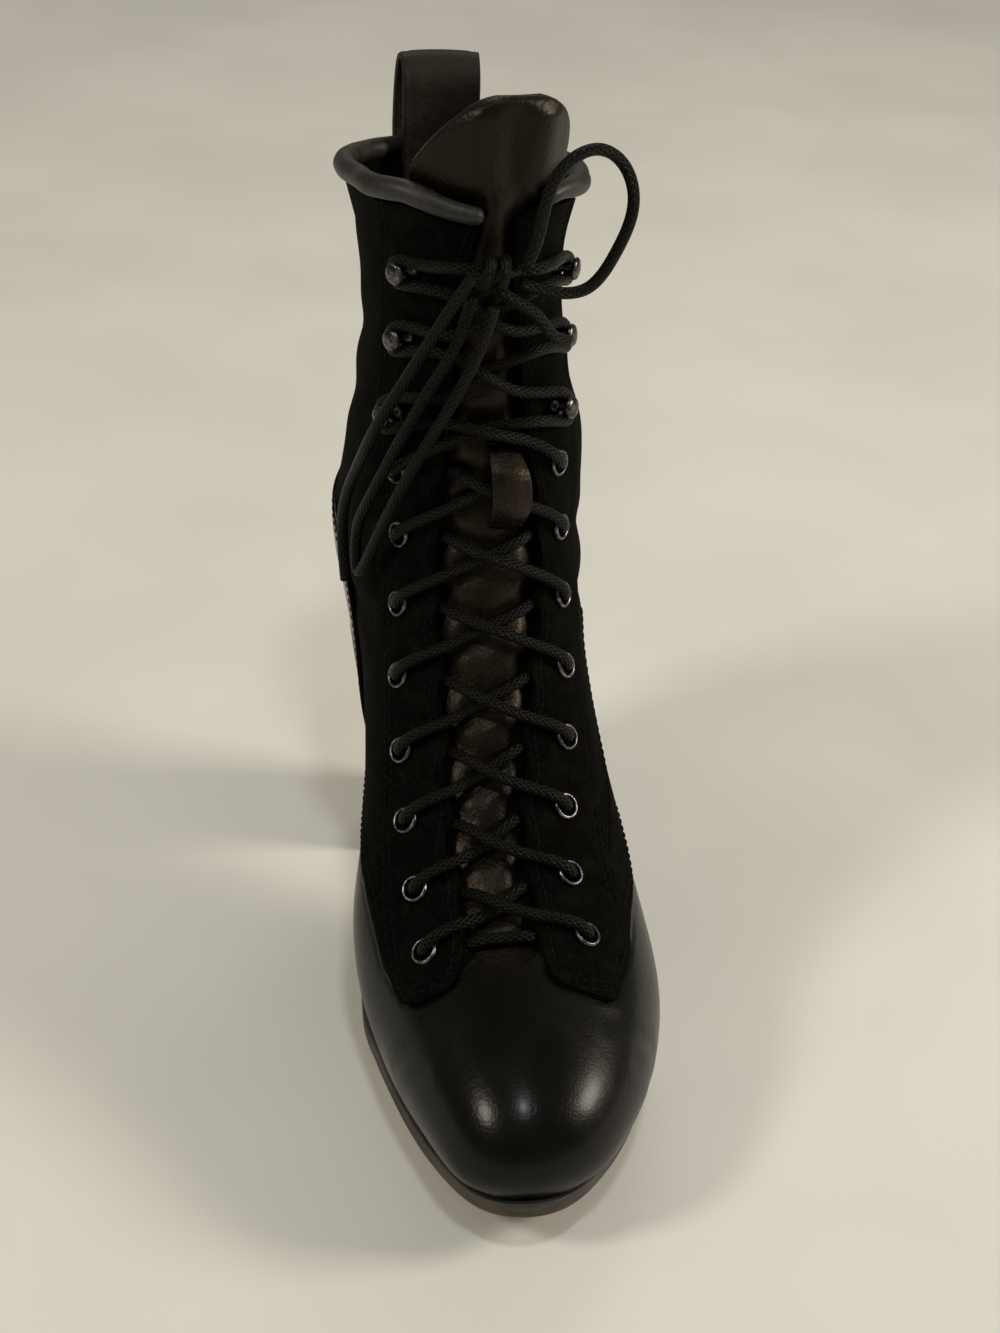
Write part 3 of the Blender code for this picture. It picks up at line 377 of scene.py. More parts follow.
@dataclass
class Last:
    """The shape that the boot is built on, from the same tables as its solids."""

    origin: tuple[float, float]
    throat_base: float = 4.95
    shaft_from: float = 13.0
    base_round: float = 0.5
    first_row: float = 5.45
    ripple: float = 1.9
    ripple_pitch: float = 1.035
    ripple_from: float = 5.6
    ripple_to: float = 12.4
    inner_spread: float = 1.0
    outer_spread: float = 2.6
    spread_at: float = 10.4
    spread_width: float = 2.0
    collar: float = 18.0
    collar_front: float = 17.0
    collar_rise: float = 0.75
    collar_rise_over: float = 24.0
    toe_turn: float = -4.0
    toe_turn_from: float = 150.0
    shaft_lean: float = -5.5
    lean_from: float = 140.0
    lean_to: float = 240.0
    tuck_rise: float = 24.0
    row_step: float = 0.04
    half_count: int = 200

    def __post_init__(self) -> None:
        """Make the curves of the tables and the fine grid of the surface."""
        self.feather = Spline(columns(PROFILE, 0), columns(PROFILE, 1))
        self.under = Steady(columns(PROFILE, 0), columns(PROFILE, 2))
        self.plan_squared = by_side([(f, inner * inner, outer * outer) for f, inner, outer in PLAN])
        self.throat = by_side(THROAT)
        self.eyelet = by_side(EYELETS)
        rows = SECTIONS[HEEL_SEAT:]
        self.seat_up = float(self.feather(rows[0][2]))
        self.back_line = Spline([self.seat_up] + columns(rows[1:], 3), columns(rows, 2))
        self.back_round = Steady(columns(BACK_ROUND, 0), columns(BACK_ROUND, 1))
        self.section = []
        for k in range(9):
            values = [float(self.feather(row[2])) if row[k] is None else row[k] for row in SECTIONS]
            self.section.append(Spline(range(len(SECTIONS)), values))
        self._weave_grid()

    def back_share(self, f: Any, z: Any) -> np.ndarray:
        """Share of the full width left by the round of the back at a level.

        Args:
            f: Places along the boot.
            z: Heights there.
        Returns:
            Shares from 0 to 1.
        """
        z = np.maximum(z, self.seat_up)
        u = (self.back_line(z) + self.back_round(z) - f) / self.back_round(z)
        return np.sqrt(np.maximum(1.0 - np.clip(u, 0.0, 1.0) ** 2, 0.0))

    def plan_width(self, f: Any, side: int) -> np.ndarray:
        """Half width of the feather edge before its heel is rounded."""
        return np.sqrt(np.maximum(self.plan_squared[side](f), 0.0))

    def plan(self, f: Any, side: int) -> np.ndarray:
        """Half width of the feather edge."""
        return self.plan_width(f, side) * self.back_share(f, 0.0)

    def swing(self, f: Any, z: Any) -> np.ndarray:
        """Sideways turn of the toe and lean of the shaft.

        Args:
            f: Places along the boot.
            z: Heights there.
        Returns:
            Shift to the side.
        """
        toe = np.maximum(np.asarray(f, float) - self.toe_turn_from, 0.0) / (PLAN[-1][0] - self.toe_turn_from)
        lean = ease((np.asarray(z, float) - self.lean_from) / (self.lean_to - self.lean_from))
        return self.toe_turn * toe * toe + self.shaft_lean * lean

    def half_section(self, t: float, side: int) -> tuple[np.ndarray, np.ndarray]:
        """One half section from the crest to its low end.

        Args:
            t: Place in the fan of sections.
            side: -1 for the inner side, 1 for the outer.
        Returns:
            The points and the distance along them.
        """
        top_f, top_z, low_f, low_z, inner, outer, wide, crown, lean = [float(s(t)) for s in self.section]
        if t < HEEL_SEAT:
            low_z = float(self.feather(low_f))
        else:
            low_f = float(self.back_line(low_z))
        edge = float(self.plan_width(low_f, side))
        half = max(inner if side < 0 else outer, edge)
        tuck = half - edge
        if t >= HEEL_SEAT:
            tuck *= 1.0 - float(ease((low_z - self.seat_up) / self.tuck_rise))
        turn = np.linspace(0.0, 0.5 * math.pi, 97)
        power = 2.0 / crown
        x_top = half * np.sin(turn) ** power
        q_top = wide + (1.0 - wide) * np.clip(np.cos(turn), 0.0, 1.0) ** power
        down = np.sin(turn[1:])
        q_low = wide * (1.0 - down)
        f_low = low_f + (top_f - low_f) * q_low
        z_low = low_z + (top_z - low_z) * q_low
        x_low = (half - tuck * down * down) * self.back_share(f_low, z_low)
        x = np.concatenate([x_top, x_low])
        q = np.concatenate([q_top, q_low])
        f = low_f + (top_f - low_f) * q
        z = low_z + (top_z - low_z) * q
        points = np.stack([f, side * x + lean * q + self.swing(f, z), z], 1)
        along = lengths(points)
        return points, along

    def _weave_grid(self) -> None:
        """Sample the whole surface and its normals on a fine grid of section and share of the girth."""
        self.rows = np.arange(0.0, 20.0 + 1e-9, self.row_step)
        shares = np.linspace(0.0, 1.0, self.half_count + 1)
        halves: dict[int, list[np.ndarray]] = {-1: [], 1: []}
        self.girths: dict[int, np.ndarray] = {}
        for side in (-1, 1):
            whole = []
            for t in self.rows:
                points, along = self.half_section(float(t), side)
                whole.append(along[-1])
                halves[side].append(np.stack([np.interp(shares * along[-1], along, points[:, k])
                                              for k in range(3)], 1))
            self.girths[side] = np.array(whole)
        inner = np.array(halves[-1])[:, ::-1]
        self.grid = np.concatenate([inner, np.array(halves[1])[:, 1:]], 1)
        across = np.gradient(self.grid, axis=1)
        ahead = np.gradient(self.grid, axis=0)
        normal = np.cross(across, ahead)
        normal /= np.maximum(np.linalg.norm(normal, axis=2, keepdims=True), 1e-9)
        if normal[len(self.rows) // 3, self.half_count, 2] < 0.0:
            normal = -normal
        round_back = self.rows >= HEEL_SEAT + 0.02
        shared = normal[round_back, 0] + normal[round_back, -1]
        shared /= np.maximum(np.linalg.norm(shared, axis=1, keepdims=True), 1e-9)
        normal[round_back, 0] = shared
        normal[round_back, -1] = shared
        self.normals = normal

    def girth(self, t: Any, side: int) -> np.ndarray:
        """Length of one half section."""
        return np.interp(t, self.rows, self.girths[side])

    def sample(self, t: Any, d: Any) -> tuple[np.ndarray, np.ndarray]:
        """Points and normals of the last.

        Args:
            t: Sections.
            d: Signed distances from the crest.
        Returns:
            The points and the outward normals.
        """
        t, d = np.broadcast_arrays(np.asarray(t, float), np.asarray(d, float))
        whole = np.where(d < 0.0, self.girth(t, -1), self.girth(t, 1))
        share = np.clip(d / whole, -1.0, 1.0)
        i = np.clip(t / self.row_step, 0.0, len(self.rows) - 1.000001)
        j = np.clip((share + 1.0) * self.half_count, 0.0, 2 * self.half_count - 0.000001)
        i0 = i.astype(int)
        j0 = j.astype(int)
        a = (i - i0)[..., None]
        b = (j - j0)[..., None]
        found = []
        for field_of in (self.grid, self.normals):
            low = field_of[i0, j0] * (1.0 - b) + field_of[i0, j0 + 1] * b
            high = field_of[i0 + 1, j0] * (1.0 - b) + field_of[i0 + 1, j0 + 1] * b
            found.append(low * (1.0 - a) + high * a)
        size = np.maximum(np.linalg.norm(found[1], axis=-1, keepdims=True), 1e-9)
        return found[0], found[1] / size

    def collar_section(self, t: Any, d: Any) -> np.ndarray:
        """Section that a nominal row has at a distance, so that the top row follows the collar line.

        Args:
            t: Nominal sections.
            d: Signed distances from the crest.
        Returns:
            The sections after the shift.
        """
        t = np.asarray(t, float)
        start = self.shaft_from
        top = self.collar_front + self.collar_rise * ease((np.abs(d) - 1.0) / self.collar_rise_over)
        return np.where(t <= start, t, start + (t - start) * (top - start) / (self.collar - start))

    def skin(self, t: Any, d: Any, lift: Any = 0.0) -> np.ndarray:
        """Points of the upper's outside, or above it by a lift.

        Args:
            t: Nominal sections.
            d: Signed distances from the crest.
            lift: Heights over the surface.
        Returns:
            The points.
        """
        points, normals = self.sample(self.collar_section(t, d), d)
        return points + normals * np.asarray(lift, float)[..., None]

    def under_skin(self, t: Any, d: Any, lift: Any) -> np.ndarray:
        """Points over or under the last at true sections, as the tongue follows them."""
        points, normals = self.sample(t, d)
        return points + normals * np.asarray(lift, float)[..., None]

    def on_skin(self, t: Any, d: Any, lift: Any = 0.0) -> np.ndarray:
        """Points of the upper's outside, or above it by a lift, in metres."""
        return self.world(self.skin(t, d, lift))

    def half_gap(self, t: Any, side: int) -> np.ndarray:
        """Distance of one edge of the throat from the crest, with a round base.

        Args:
            t: Nominal sections.
            side: Side of the boot.
        Returns:
            Distances in millimetres.
        """
        t = np.asarray(t, float)
        edge = self.throat[side]
        u = np.clip((t - self.throat_base) / self.base_round, 0.0, 1.0)
        base = edge(self.first_row) * np.sqrt(np.maximum(1.0 - (1.0 - u) ** 2, 0.0))
        wave = 0.5 - 0.5 * np.cos(2.0 * math.pi * (t - self.first_row) / self.ripple_pitch)
        slack = self.ripple * wave * ease((t - self.ripple_from) / 0.8) * (1.0 - ease(t - self.ripple_to))
        spread = self.outer_spread if side > 0 else self.inner_spread
        return np.where(u < 1.0, base, edge(t) + slack + spread * bell(t - self.spread_at, self.spread_width))

    def world(self, points: Any) -> np.ndarray:
        """Table points to metres in the row frame."""
        p = np.asarray(points, float)
        return np.stack([p[..., 1] + self.origin[0], self.origin[1] - p[..., 0], p[..., 2]], -1) * MM


class Value:
    """A socket in a material that can be used in sums."""

    def __init__(self, paint: "Paint", socket: bpy.types.NodeSocket) -> None:
        """Wrap a socket of a material."""
        self.paint = paint
        self.socket = socket

    def _do(self, operation: str, *operands: Number) -> "Value":
        """Add one Math node.

        Args:
            operation: Name of the operation.
            operands: Further inputs of the node.
        Returns:
            The output of the node.
        """
        inputs = {i: operand for i, operand in enumerate(operands)}
        node = self.paint.node("ShaderNodeMath", {"operation": operation}, inputs)
        return Value(self.paint, node.outputs[0])

    def __add__(self, other: Number) -> "Value":
        """Sum."""
        return self._do("ADD", self, other)

    __radd__ = __add__

    def __sub__(self, other: Number) -> "Value":
        """Difference."""
        return self._do("SUBTRACT", self, other)

    def __rsub__(self, other: Number) -> "Value":
        """Difference from a number."""
        return self._do("SUBTRACT", other, self)

    def __mul__(self, other: Number) -> "Value":
        """Product."""
        return self._do("MULTIPLY", self, other)

    __rmul__ = __mul__

    def cos(self) -> "Value":
        """Cosine."""
        return self._do("COSINE", self)

    def abs(self) -> "Value":
        """Size without the sign."""
        return self._do("ABSOLUTE", self)

    def top(self, other: Number) -> "Value":
        """The larger of two values."""
        return self._do("MAXIMUM", self, other)

    def step(self, low: float, high: float) -> "Value":
        """Smooth step from 0 at low to 1 at high.

        Args:
            low: Where the step begins.
            high: Where it ends.
        Returns:
            The step.
        """
        node = self.paint.node("ShaderNodeMapRange", {"interpolation_type": "SMOOTHSTEP"},
                               {"Value": self, "From Min": low, "From Max": high})
        return Value(self.paint, node.outputs[0])


def add_node(tree: bpy.types.NodeTree, kind: str, settings: Optional[dict[str, Any]] = None,
             inputs: Optional[dict[Any, Any]] = None) -> bpy.types.Node:
    """Add a node to a tree.

    Args:
        tree: The tree of a material or of a shape.
        kind: The node's type.
        settings: Its properties, set first.
        inputs: Values or links of its sockets, by name or number.
    Returns:
        The node.
    """
    made = tree.nodes.new(kind)
    for key, value in (settings or {}).items():
        setattr(made, key, value)
    for key, value in (inputs or {}).items():
        socket = made.inputs[key]
        if isinstance(value, Value):
            value = value.socket
        if isinstance(value, bpy.types.NodeSocket):
            tree.links.new(value, socket)
        elif isinstance(value, tuple) and len(value) == 3 and socket.type == "RGBA":
            socket.default_value = (*value, 1.0)
        else:
            socket.default_value = value
    return made


def place(name: str, data: bpy.types.ID) -> bpy.types.Object:
    """New object in the scene.

    Args:
        name: Name of the object.
        data: Its mesh, curve or lamp.
    Returns:
        The new object.
    """
    made = bpy.data.objects.new(name, data)
    bpy.context.scene.collection.objects.link(made)
    return made


def discard(piece: bpy.types.Object) -> None:
    """Take an object and its mesh or curve out of the file.

    Args:
        piece: The object.
    """
    stale = piece.data
    bpy.data.objects.remove(piece, do_unlink=True)
    (bpy.data.meshes if isinstance(stale, bpy.types.Mesh) else bpy.data.curves).remove(stale)


def evaluated(piece: bpy.types.Object) -> bpy.types.Mesh:
    """Plain mesh of a piece with its modifiers."""
    bpy.context.view_layer.update()
    return bpy.data.meshes.new_from_object(piece.evaluated_get(bpy.context.evaluated_depsgraph_get()))


class Paint:
    """A material in the making."""

    def __init__(self, name: str) -> None:
        """Start an empty material.

        Args:
            name: Name of the material.
        """
        self.material = bpy.data.materials.new(name)
        self.material.use_nodes = True
        self.tree = self.material.node_tree
        self.tree.nodes.clear()
        self._coords: Optional[bpy.types.NodeSocket] = None

    def node(self, kind: str, settings: Optional[dict[str, Any]] = None,
             inputs: Optional[dict[Any, Any]] = None) -> bpy.types.Node:
        """Add a node to the material."""
        return add_node(self.tree, kind, settings, inputs)

    def coords(self) -> bpy.types.NodeSocket:
        """Object coordinates.

        Returns:
            The socket, made at the first call.
        """
        if self._coords is None:
            self._coords = self.node("ShaderNodeTexCoord").outputs["Object"]
        return self._coords

    def stretched(self, scale: Triple) -> bpy.types.NodeSocket:
        """Object coordinates stretched along the axes."""
        return self.node("ShaderNodeMapping", None, {"Vector": self.coords(), "Scale": scale}).outputs[0]

    def noise(self, size: float, detail: float = 2.0, rough: float = 0.5, warp: float = 0.0,
              at: Optional[bpy.types.NodeSocket] = None) -> Value:
        """Cloudy noise.

        Args:
            size: Size of a cloud in millimetres.
            detail: Finer layers.
            rough: Strength of the finer layers.
            warp: Bending of the clouds.
            at: Coordinates, those of the object if left out.
        Returns:
            A value about 0.5.
        """
        made = self.node("ShaderNodeTexNoise", None, {
            "Vector": at or self.coords(), "Scale": 1000.0 / size, "Detail": detail, "Roughness": rough,
            "Distortion": warp})
        return Value(self, made.outputs["Fac"])

    def cells(self, size: float, feature: str = "F1", smooth: float = 0.0) -> Value:
        """Distances in a field of cells of a size in millimetres.

        Args:
            size: Size of a cell.
            feature: Which distance is measured.
            smooth: How far the cells run together.
        Returns:
            The distances.
        """
        settings = {"feature": feature}
        inputs: dict[Any, Any] = {"Vector": self.coords(), "Scale": 1000.0 / size}
        if feature == "SMOOTH_F1":
            inputs["Smoothness"] = smooth
        made = self.node("ShaderNodeTexVoronoi", settings, inputs)
        return Value(self, made.outputs["Distance"])

    def mark(self, name: str) -> Value:
        """An attribute of the mesh."""
        return Value(self, self.node("ShaderNodeAttribute", {"attribute_name": name}).outputs["Fac"])

    def along(self) -> tuple[Value, Value]:
        """The two coordinates of the piece's own map."""
        spot = self.node("ShaderNodeSeparateXYZ", None, {0: self.node("ShaderNodeUVMap").outputs[0]})
        return Value(self, spot.outputs[0]), Value(self, spot.outputs[1])

    def height(self) -> Value:
        """Height over the floor in millimetres."""
        return Value(self, self.node("ShaderNodeSeparateXYZ", None, {0: self.coords()}).outputs[2]) * 1000.0

    def colour(self, amount: Value, low: Any, high: Any) -> bpy.types.NodeSocket:
        """Mix of two colours by a value."""
        made = self.node("ShaderNodeMix", {"data_type": "RGBA"}, {0: amount, 6: low, 7: high})
        return made.outputs[2]

    def bump(self, height: Value, depth: float, strength: float = 1.0) -> bpy.types.NodeSocket:
        """Relief from a value, with its depth in millimetres."""
        return self.node("ShaderNodeBump", None, {
            "Height": height, "Distance": depth * MM, "Strength": strength}).outputs[0]

    def surface(self, **inputs: Any) -> bpy.types.NodeSocket:
        """A principled surface; words joined by underscores name its sockets."""
        named = {key.replace("_", " ").title().replace("Ior", "IOR"): value for key, value in inputs.items()}
        return self.node("ShaderNodeBsdfPrincipled", None, named).outputs[0]

    def finish(self, shader: bpy.types.NodeSocket) -> bpy.types.Material:
        """Join the surface to the output and give the material."""
        self.node("ShaderNodeOutputMaterial", None, {"Surface": shader})
        return self.material


@dataclass(frozen=True)
class Finish:
    """A finish that can be made into a material."""

    name: str = "finish"

    def surface(self, paint: Paint) -> bpy.types.NodeSocket:
        """Shader of the finish, which each finish makes in its own way."""
        raise NotImplementedError(self.name)

    def material(self) -> bpy.types.Material:
        """The finish as a material of its own."""
        paint = Paint(self.name)
        return paint.finish(self.surface(paint))


@dataclass(frozen=True)
class SmoothLeather(Finish):
    """Polished smooth leather with a fine grain."""

    name: str = "smooth_leather"
    dark: Triple = (0.0022, 0.0020, 0.0013)
    light: Triple = (0.0066, 0.0056, 0.0039)
    gloss: float = 0.27
    grain: float = 0.8
    depth: float = 0.06
    polish: float = 0.11
    coat: float = 0.16

    def surface(self, paint: Paint) -> bpy.types.NodeSocket:
        """Shader of the leather in a material.

        Args:
            paint: The material being made.
        Returns:
            The finished shader.
        """
        clouds = paint.noise(32.0, 4.0, 0.55)
        grain = paint.cells(self.grain, "SMOOTH_F1", 0.6)
        pores = paint.noise(0.5, 3.0, 0.6)
        wrinkles = paint.noise(4.0, 4.0, 0.55, 1.4)
        relief = grain * 0.7 + pores * 0.35 + wrinkles * 1.2
        wear = clouds.step(0.42, 0.72)
        return paint.surface(
            base_color=paint.colour(wear, self.dark, self.light),
            roughness=self.gloss + 0.12 * wear + 0.10 * (pores - 0.5),
            specular_ior_level=self.polish, coat_weight=self.coat, coat_roughness=0.21,
            normal=paint.bump(relief, self.depth * 2.0, 0.5))


@dataclass(frozen=True)
class Suede(Finish):
    """Napped suede."""

    name: str = "suede"
    dark: Triple = (0.0006, 0.0006, 0.0005)
    light: Triple = (0.0068, 0.0066, 0.0054)

    def surface(self, paint: Paint) -> bpy.types.NodeSocket:
        """Shader of the suede in a material.

        Args:
            paint: The material being made.
        Returns:
            The finished shader.
        """
        nap = paint.noise(0.9, 4.0, 0.65)
        brushed = paint.noise(7.0, 5.0, 0.62, 0.8)
        tone = nap.step(0.35, 0.75) * 0.5 + brushed.step(0.40, 0.72) * 0.5
        return paint.surface(
            base_color=paint.colour(tone, self.dark, self.light),
            roughness=0.86 + 0.12 * nap,
            specular_ior_level=0.04, sheen_weight=0.008, sheen_roughness=0.5, sheen_tint=(0.5, 0.49, 0.44),
            normal=paint.bump(nap + brushed * 0.6, 0.35, 0.75))


@dataclass(frozen=True)
class VampAndQuarters(Finish):
    """Smooth leather in front and below, suede above, parted by the panel mark."""

    name: str = "vamp_and_quarters"
    leather: SmoothLeather = SmoothLeather()
    suede: Suede = Suede()

    def surface(self, paint: Paint) -> bpy.types.NodeSocket:
        """Shader of the finish.

        Args:
            paint: The material being made.
        Returns:
            The finished shader.
        """
        share = paint.mark("panel").step(-0.25, 0.25)
        mixed = paint.node("ShaderNodeMixShader", None, {
            0: share, 1: self.leather.surface(paint), 2: self.suede.surface(paint)})
        return mixed.outputs[0]


@dataclass(frozen=True)
class PebbledLeather(Finish):
    """Soft leather with a pebbled grain, darker towards the bottom as painted shade."""

    name: str = "pebbled_leather"
    dark: Triple = (0.0018, 0.0014, 0.0009)
    light: Triple = (0.0150, 0.0094, 0.0054)
    pebble: float = 1.15
    gloss: float = 0.33

    def surface(self, paint: Paint) -> bpy.types.NodeSocket:
        """Shader of the finish.

        Args:
            paint: The material being made.
        Returns:
            The finished shader.
        """
        pebbles = 1.0 - paint.cells(self.pebble, "SMOOTH_F1", 0.35)
        pores = paint.noise(0.45, 3.0, 0.6)
        folds = paint.noise(4.0, 4.0, 0.55, 0.8, paint.stretched((0.35, 0.6, 1.5)))
        clouds = paint.noise(18.0, 3.0, 0.55)
        # painted shade: the tone falls to the dark colour below 80 to 125 mm over the floor, where the low,
        # recessed parts lie in shade; it is also darker towards the top, above 205 to 235 mm
        low_shade_and_dark_top = paint.height().step(80.0, 125.0) * (1.0 - 0.65 * paint.height().step(205.0, 235.0))
        tone = (pebbles.step(0.35, 0.95) * 0.55 + clouds.step(0.4, 0.7) * 0.45) * low_shade_and_dark_top
        return paint.surface(
            base_color=paint.colour(tone, self.dark, self.light),
            roughness=self.gloss + 0.12 * clouds + 0.06 * pores,
            specular_ior_level=0.25, specular_tint=(1.0, 0.84, 0.66, 1.0),
            normal=paint.bump(pebbles * 0.9 + folds * 0.1 + pores * 0.15, 0.16, 0.7))


@dataclass(frozen=True)
class RolledLeather(Finish):
    """Leather binding with fine wrinkles across the roll."""

    name: str = "rolled_leather"
    dark: Triple = (0.0060, 0.0057, 0.0040)
    light: Triple = (0.0280, 0.0258, 0.0155)

    def surface(self, paint: Paint) -> bpy.types.NodeSocket:
        """Shader of the finish.

        Args:
            paint: The material being made.
        Returns:
            The finished shader.
        """
        grain = paint.cells(0.9, "SMOOTH_F1", 0.5)
        folds = paint.noise(4.0, 4.0, 0.55, 1.0)
        clouds = paint.noise(14.0, 3.0, 0.6)
        worn = (folds * 0.5 + clouds * 0.5).step(0.42, 0.66)
        return paint.surface(
            base_color=paint.colour(worn, self.dark, self.light),
            roughness=0.42 + 0.18 * clouds,
            specular_ior_level=0.5,
            normal=paint.bump(folds * 0.5 + grain * 0.35, 0.3, 0.6))


@dataclass(frozen=True)
class SoleEdge(Finish):
    """Edge-inked sole with a groove under the upper painted nearly black as shade, and a warm line along its
    bottom edge.
    """

    name: str = "sole_edge"
    ink: Triple = (0.020, 0.0168, 0.0118)
    worn: Triple = (0.062, 0.050, 0.034)
    line: Triple = (0.150, 0.050, 0.026)
    underside: Triple = (0.030, 0.024, 0.020)

    def surface(self, paint: Paint) -> bpy.types.NodeSocket:
        """Shader of the finish.

        Args:
            paint: The material being made.
        Returns:
            The finished shader.
        """
        share = paint.mark("share")
        streaks = paint.noise(3.0, 4.0, 0.6, 0.4, paint.stretched((0.35, 0.35, 2.0)))
        clouds = paint.noise(16.0, 3.0, 0.55)
        edge = paint.colour((streaks * 0.5 + clouds * 0.5).step(0.42, 0.64), self.ink, self.worn)
        warm = share.step(0.79, 0.84) * (1.0 - share.step(0.97, 1.0))
        edge = paint.colour(warm * (0.55 + 0.4 * clouds), edge, self.line)
        # painted shade: the groove under the overhang of the upper is darkened nearly to black
        groove = 1.0 - share.step(0.02, 0.11)
        edge = paint.colour(groove * 0.85, edge, (0.004, 0.004, 0.004))
        edge = paint.colour(share.step(1.0, 1.05), edge, self.underside)
        return paint.surface(
            base_color=edge, roughness=0.42 + 0.22 * streaks + 0.2 * groove, specular_ior_level=0.45,
            coat_weight=0.08, coat_roughness=0.3,
            normal=paint.bump(streaks + paint.noise(0.6, 3.0, 0.6) * 0.4, 0.14, 0.6))


@dataclass(frozen=True)
class StackedHeel(Finish):
    """Heel of stacked lifts under dark polish."""

    name: str = "stacked_heel"
    dark: Triple = (0.0075, 0.0066, 0.0060)
    light: Triple = (0.026, 0.021, 0.0175)
    layer: float = 4.6

    def surface(self, paint: Paint) -> bpy.types.NodeSocket:
        """Shader of the finish.

        Args:
            paint: The material being made.
        Returns:
            The finished shader.
        """
        grain = paint.noise(2.2, 4.0, 0.6, 0.3, paint.stretched((0.4, 0.4, 2.6)))
        clouds = paint.noise(20.0, 3.0, 0.55)
        wave = (paint.height() + clouds * 0.5) * (math.pi / self.layer)
        seam = 1.0 - wave.cos().abs().step(0.0, 0.22)
        tone = paint.colour((grain * 0.6 + clouds * 0.4).step(0.4, 0.66), self.dark, self.light)
        tone = paint.colour(seam * 0.8, tone, (0.003, 0.003, 0.003))
        return paint.surface(
            base_color=tone, roughness=0.34 + 0.16 * grain + 0.15 * seam, specular_ior_level=0.5,
            coat_weight=0.2, coat_roughness=0.25, normal=paint.bump(grain * 0.5 - seam, 0.22, 0.7))


@dataclass(frozen=True)
class Rubber(Finish):
    """Matte rubber of the top lift."""

    name: str = "heel_rubber"

    def surface(self, paint: Paint) -> bpy.types.NodeSocket:
        """Shader of the finish.

        Args:
            paint: The material being made.
        Returns:
            The finished shader.
        """
        specks = paint.noise(0.7, 3.0, 0.6)
        scuffs = paint.noise(9.0, 5.0, 0.65, 0.6)
        return paint.surface(
            base_color=paint.colour(scuffs.step(0.45, 0.7), (0.010, 0.010, 0.010), (0.030, 0.029, 0.028)),
            roughness=0.58 + 0.2 * specks, specular_ior_level=0.4,
            normal=paint.bump(specks + scuffs * 0.4, 0.12, 0.5))


@dataclass(frozen=True)
class Gunmetal(Finish):
    """Dark plated metal, worn brighter in spots."""

    name: str = "gunmetal"
    dark: Triple = (0.030, 0.030, 0.031)
    light: Triple = (0.160, 0.155, 0.150)

    def surface(self, paint: Paint) -> bpy.types.NodeSocket:
        """Shader of the finish.

        Args:
            paint: The material being made.
        Returns:
            The finished shader.
        """
        spots = paint.noise(1.6, 4.0, 0.6)
        fine = paint.noise(0.35, 2.0, 0.5)
        worn = spots.step(0.40, 0.68)
        return paint.surface(
            base_color=paint.colour(worn, self.dark, self.light), metallic=1.0, roughness=0.24 + 0.14 * spots,
            normal=paint.bump(fine + spots * 0.3, 0.012, 0.4))


@dataclass(frozen=True)
class WaxedBraid(Finish):
    """Waxed round braid of the lace, drawn on the lace's own map: turns across and millimetres along."""

    name: str = "waxed_braid"
    dark: Triple = (0.0009, 0.0010, 0.0006)
    light: Triple = (0.0046, 0.0048, 0.0029)
    carriers: int = 5
    pitch: float = 1.25

    def surface(self, paint: Paint) -> bpy.types.NodeSocket:
        """Shader of the finish.

        Args:
            paint: The material being made.
        Returns:
            The finished shader.
        """
        turn, run = paint.along()
        around = turn * (2.0 * math.pi * self.carriers)
        ahead = run * self.pitch
        right = (around + ahead).cos().abs()
        left = (around - ahead).cos().abs()
        strands = right.top(left)
        fibre = paint.noise(0.4, 3.0, 0.6)
        clouds = paint.noise(12.0, 3.0, 0.5)
        tone = strands.step(0.68, 1.0) * 0.65 + clouds.step(0.4, 0.7) * 0.2 + fibre * 0.25
        return paint.surface(
            base_color=paint.colour(tone, self.dark, self.light),
            roughness=0.28 + 0.3 * fibre, specular_ior_level=0.14,
            normal=paint.bump(strands + fibre * 0.3, 0.55, 0.85))


@dataclass(frozen=True)
class Thread(Finish):
    """Waxed sewing thread."""

    name: str = "sewing_thread"
    dark: Triple = (0.0020, 0.0020, 0.0017)
    light: Triple = (0.0095, 0.0092, 0.0080)

    def surface(self, paint: Paint) -> bpy.types.NodeSocket:
        """Shader of the finish.

        Args:
            paint: The material being made.
        Returns:
            The finished shader.
        """
        twist = paint.noise(0.35, 2.0, 0.5)
        return paint.surface(
            base_color=paint.colour(twist.step(0.35, 0.7), self.dark, self.light),
            roughness=0.6 + 0.2 * twist, specular_ior_level=0.08, normal=paint.bump(twist, 0.1, 0.6))


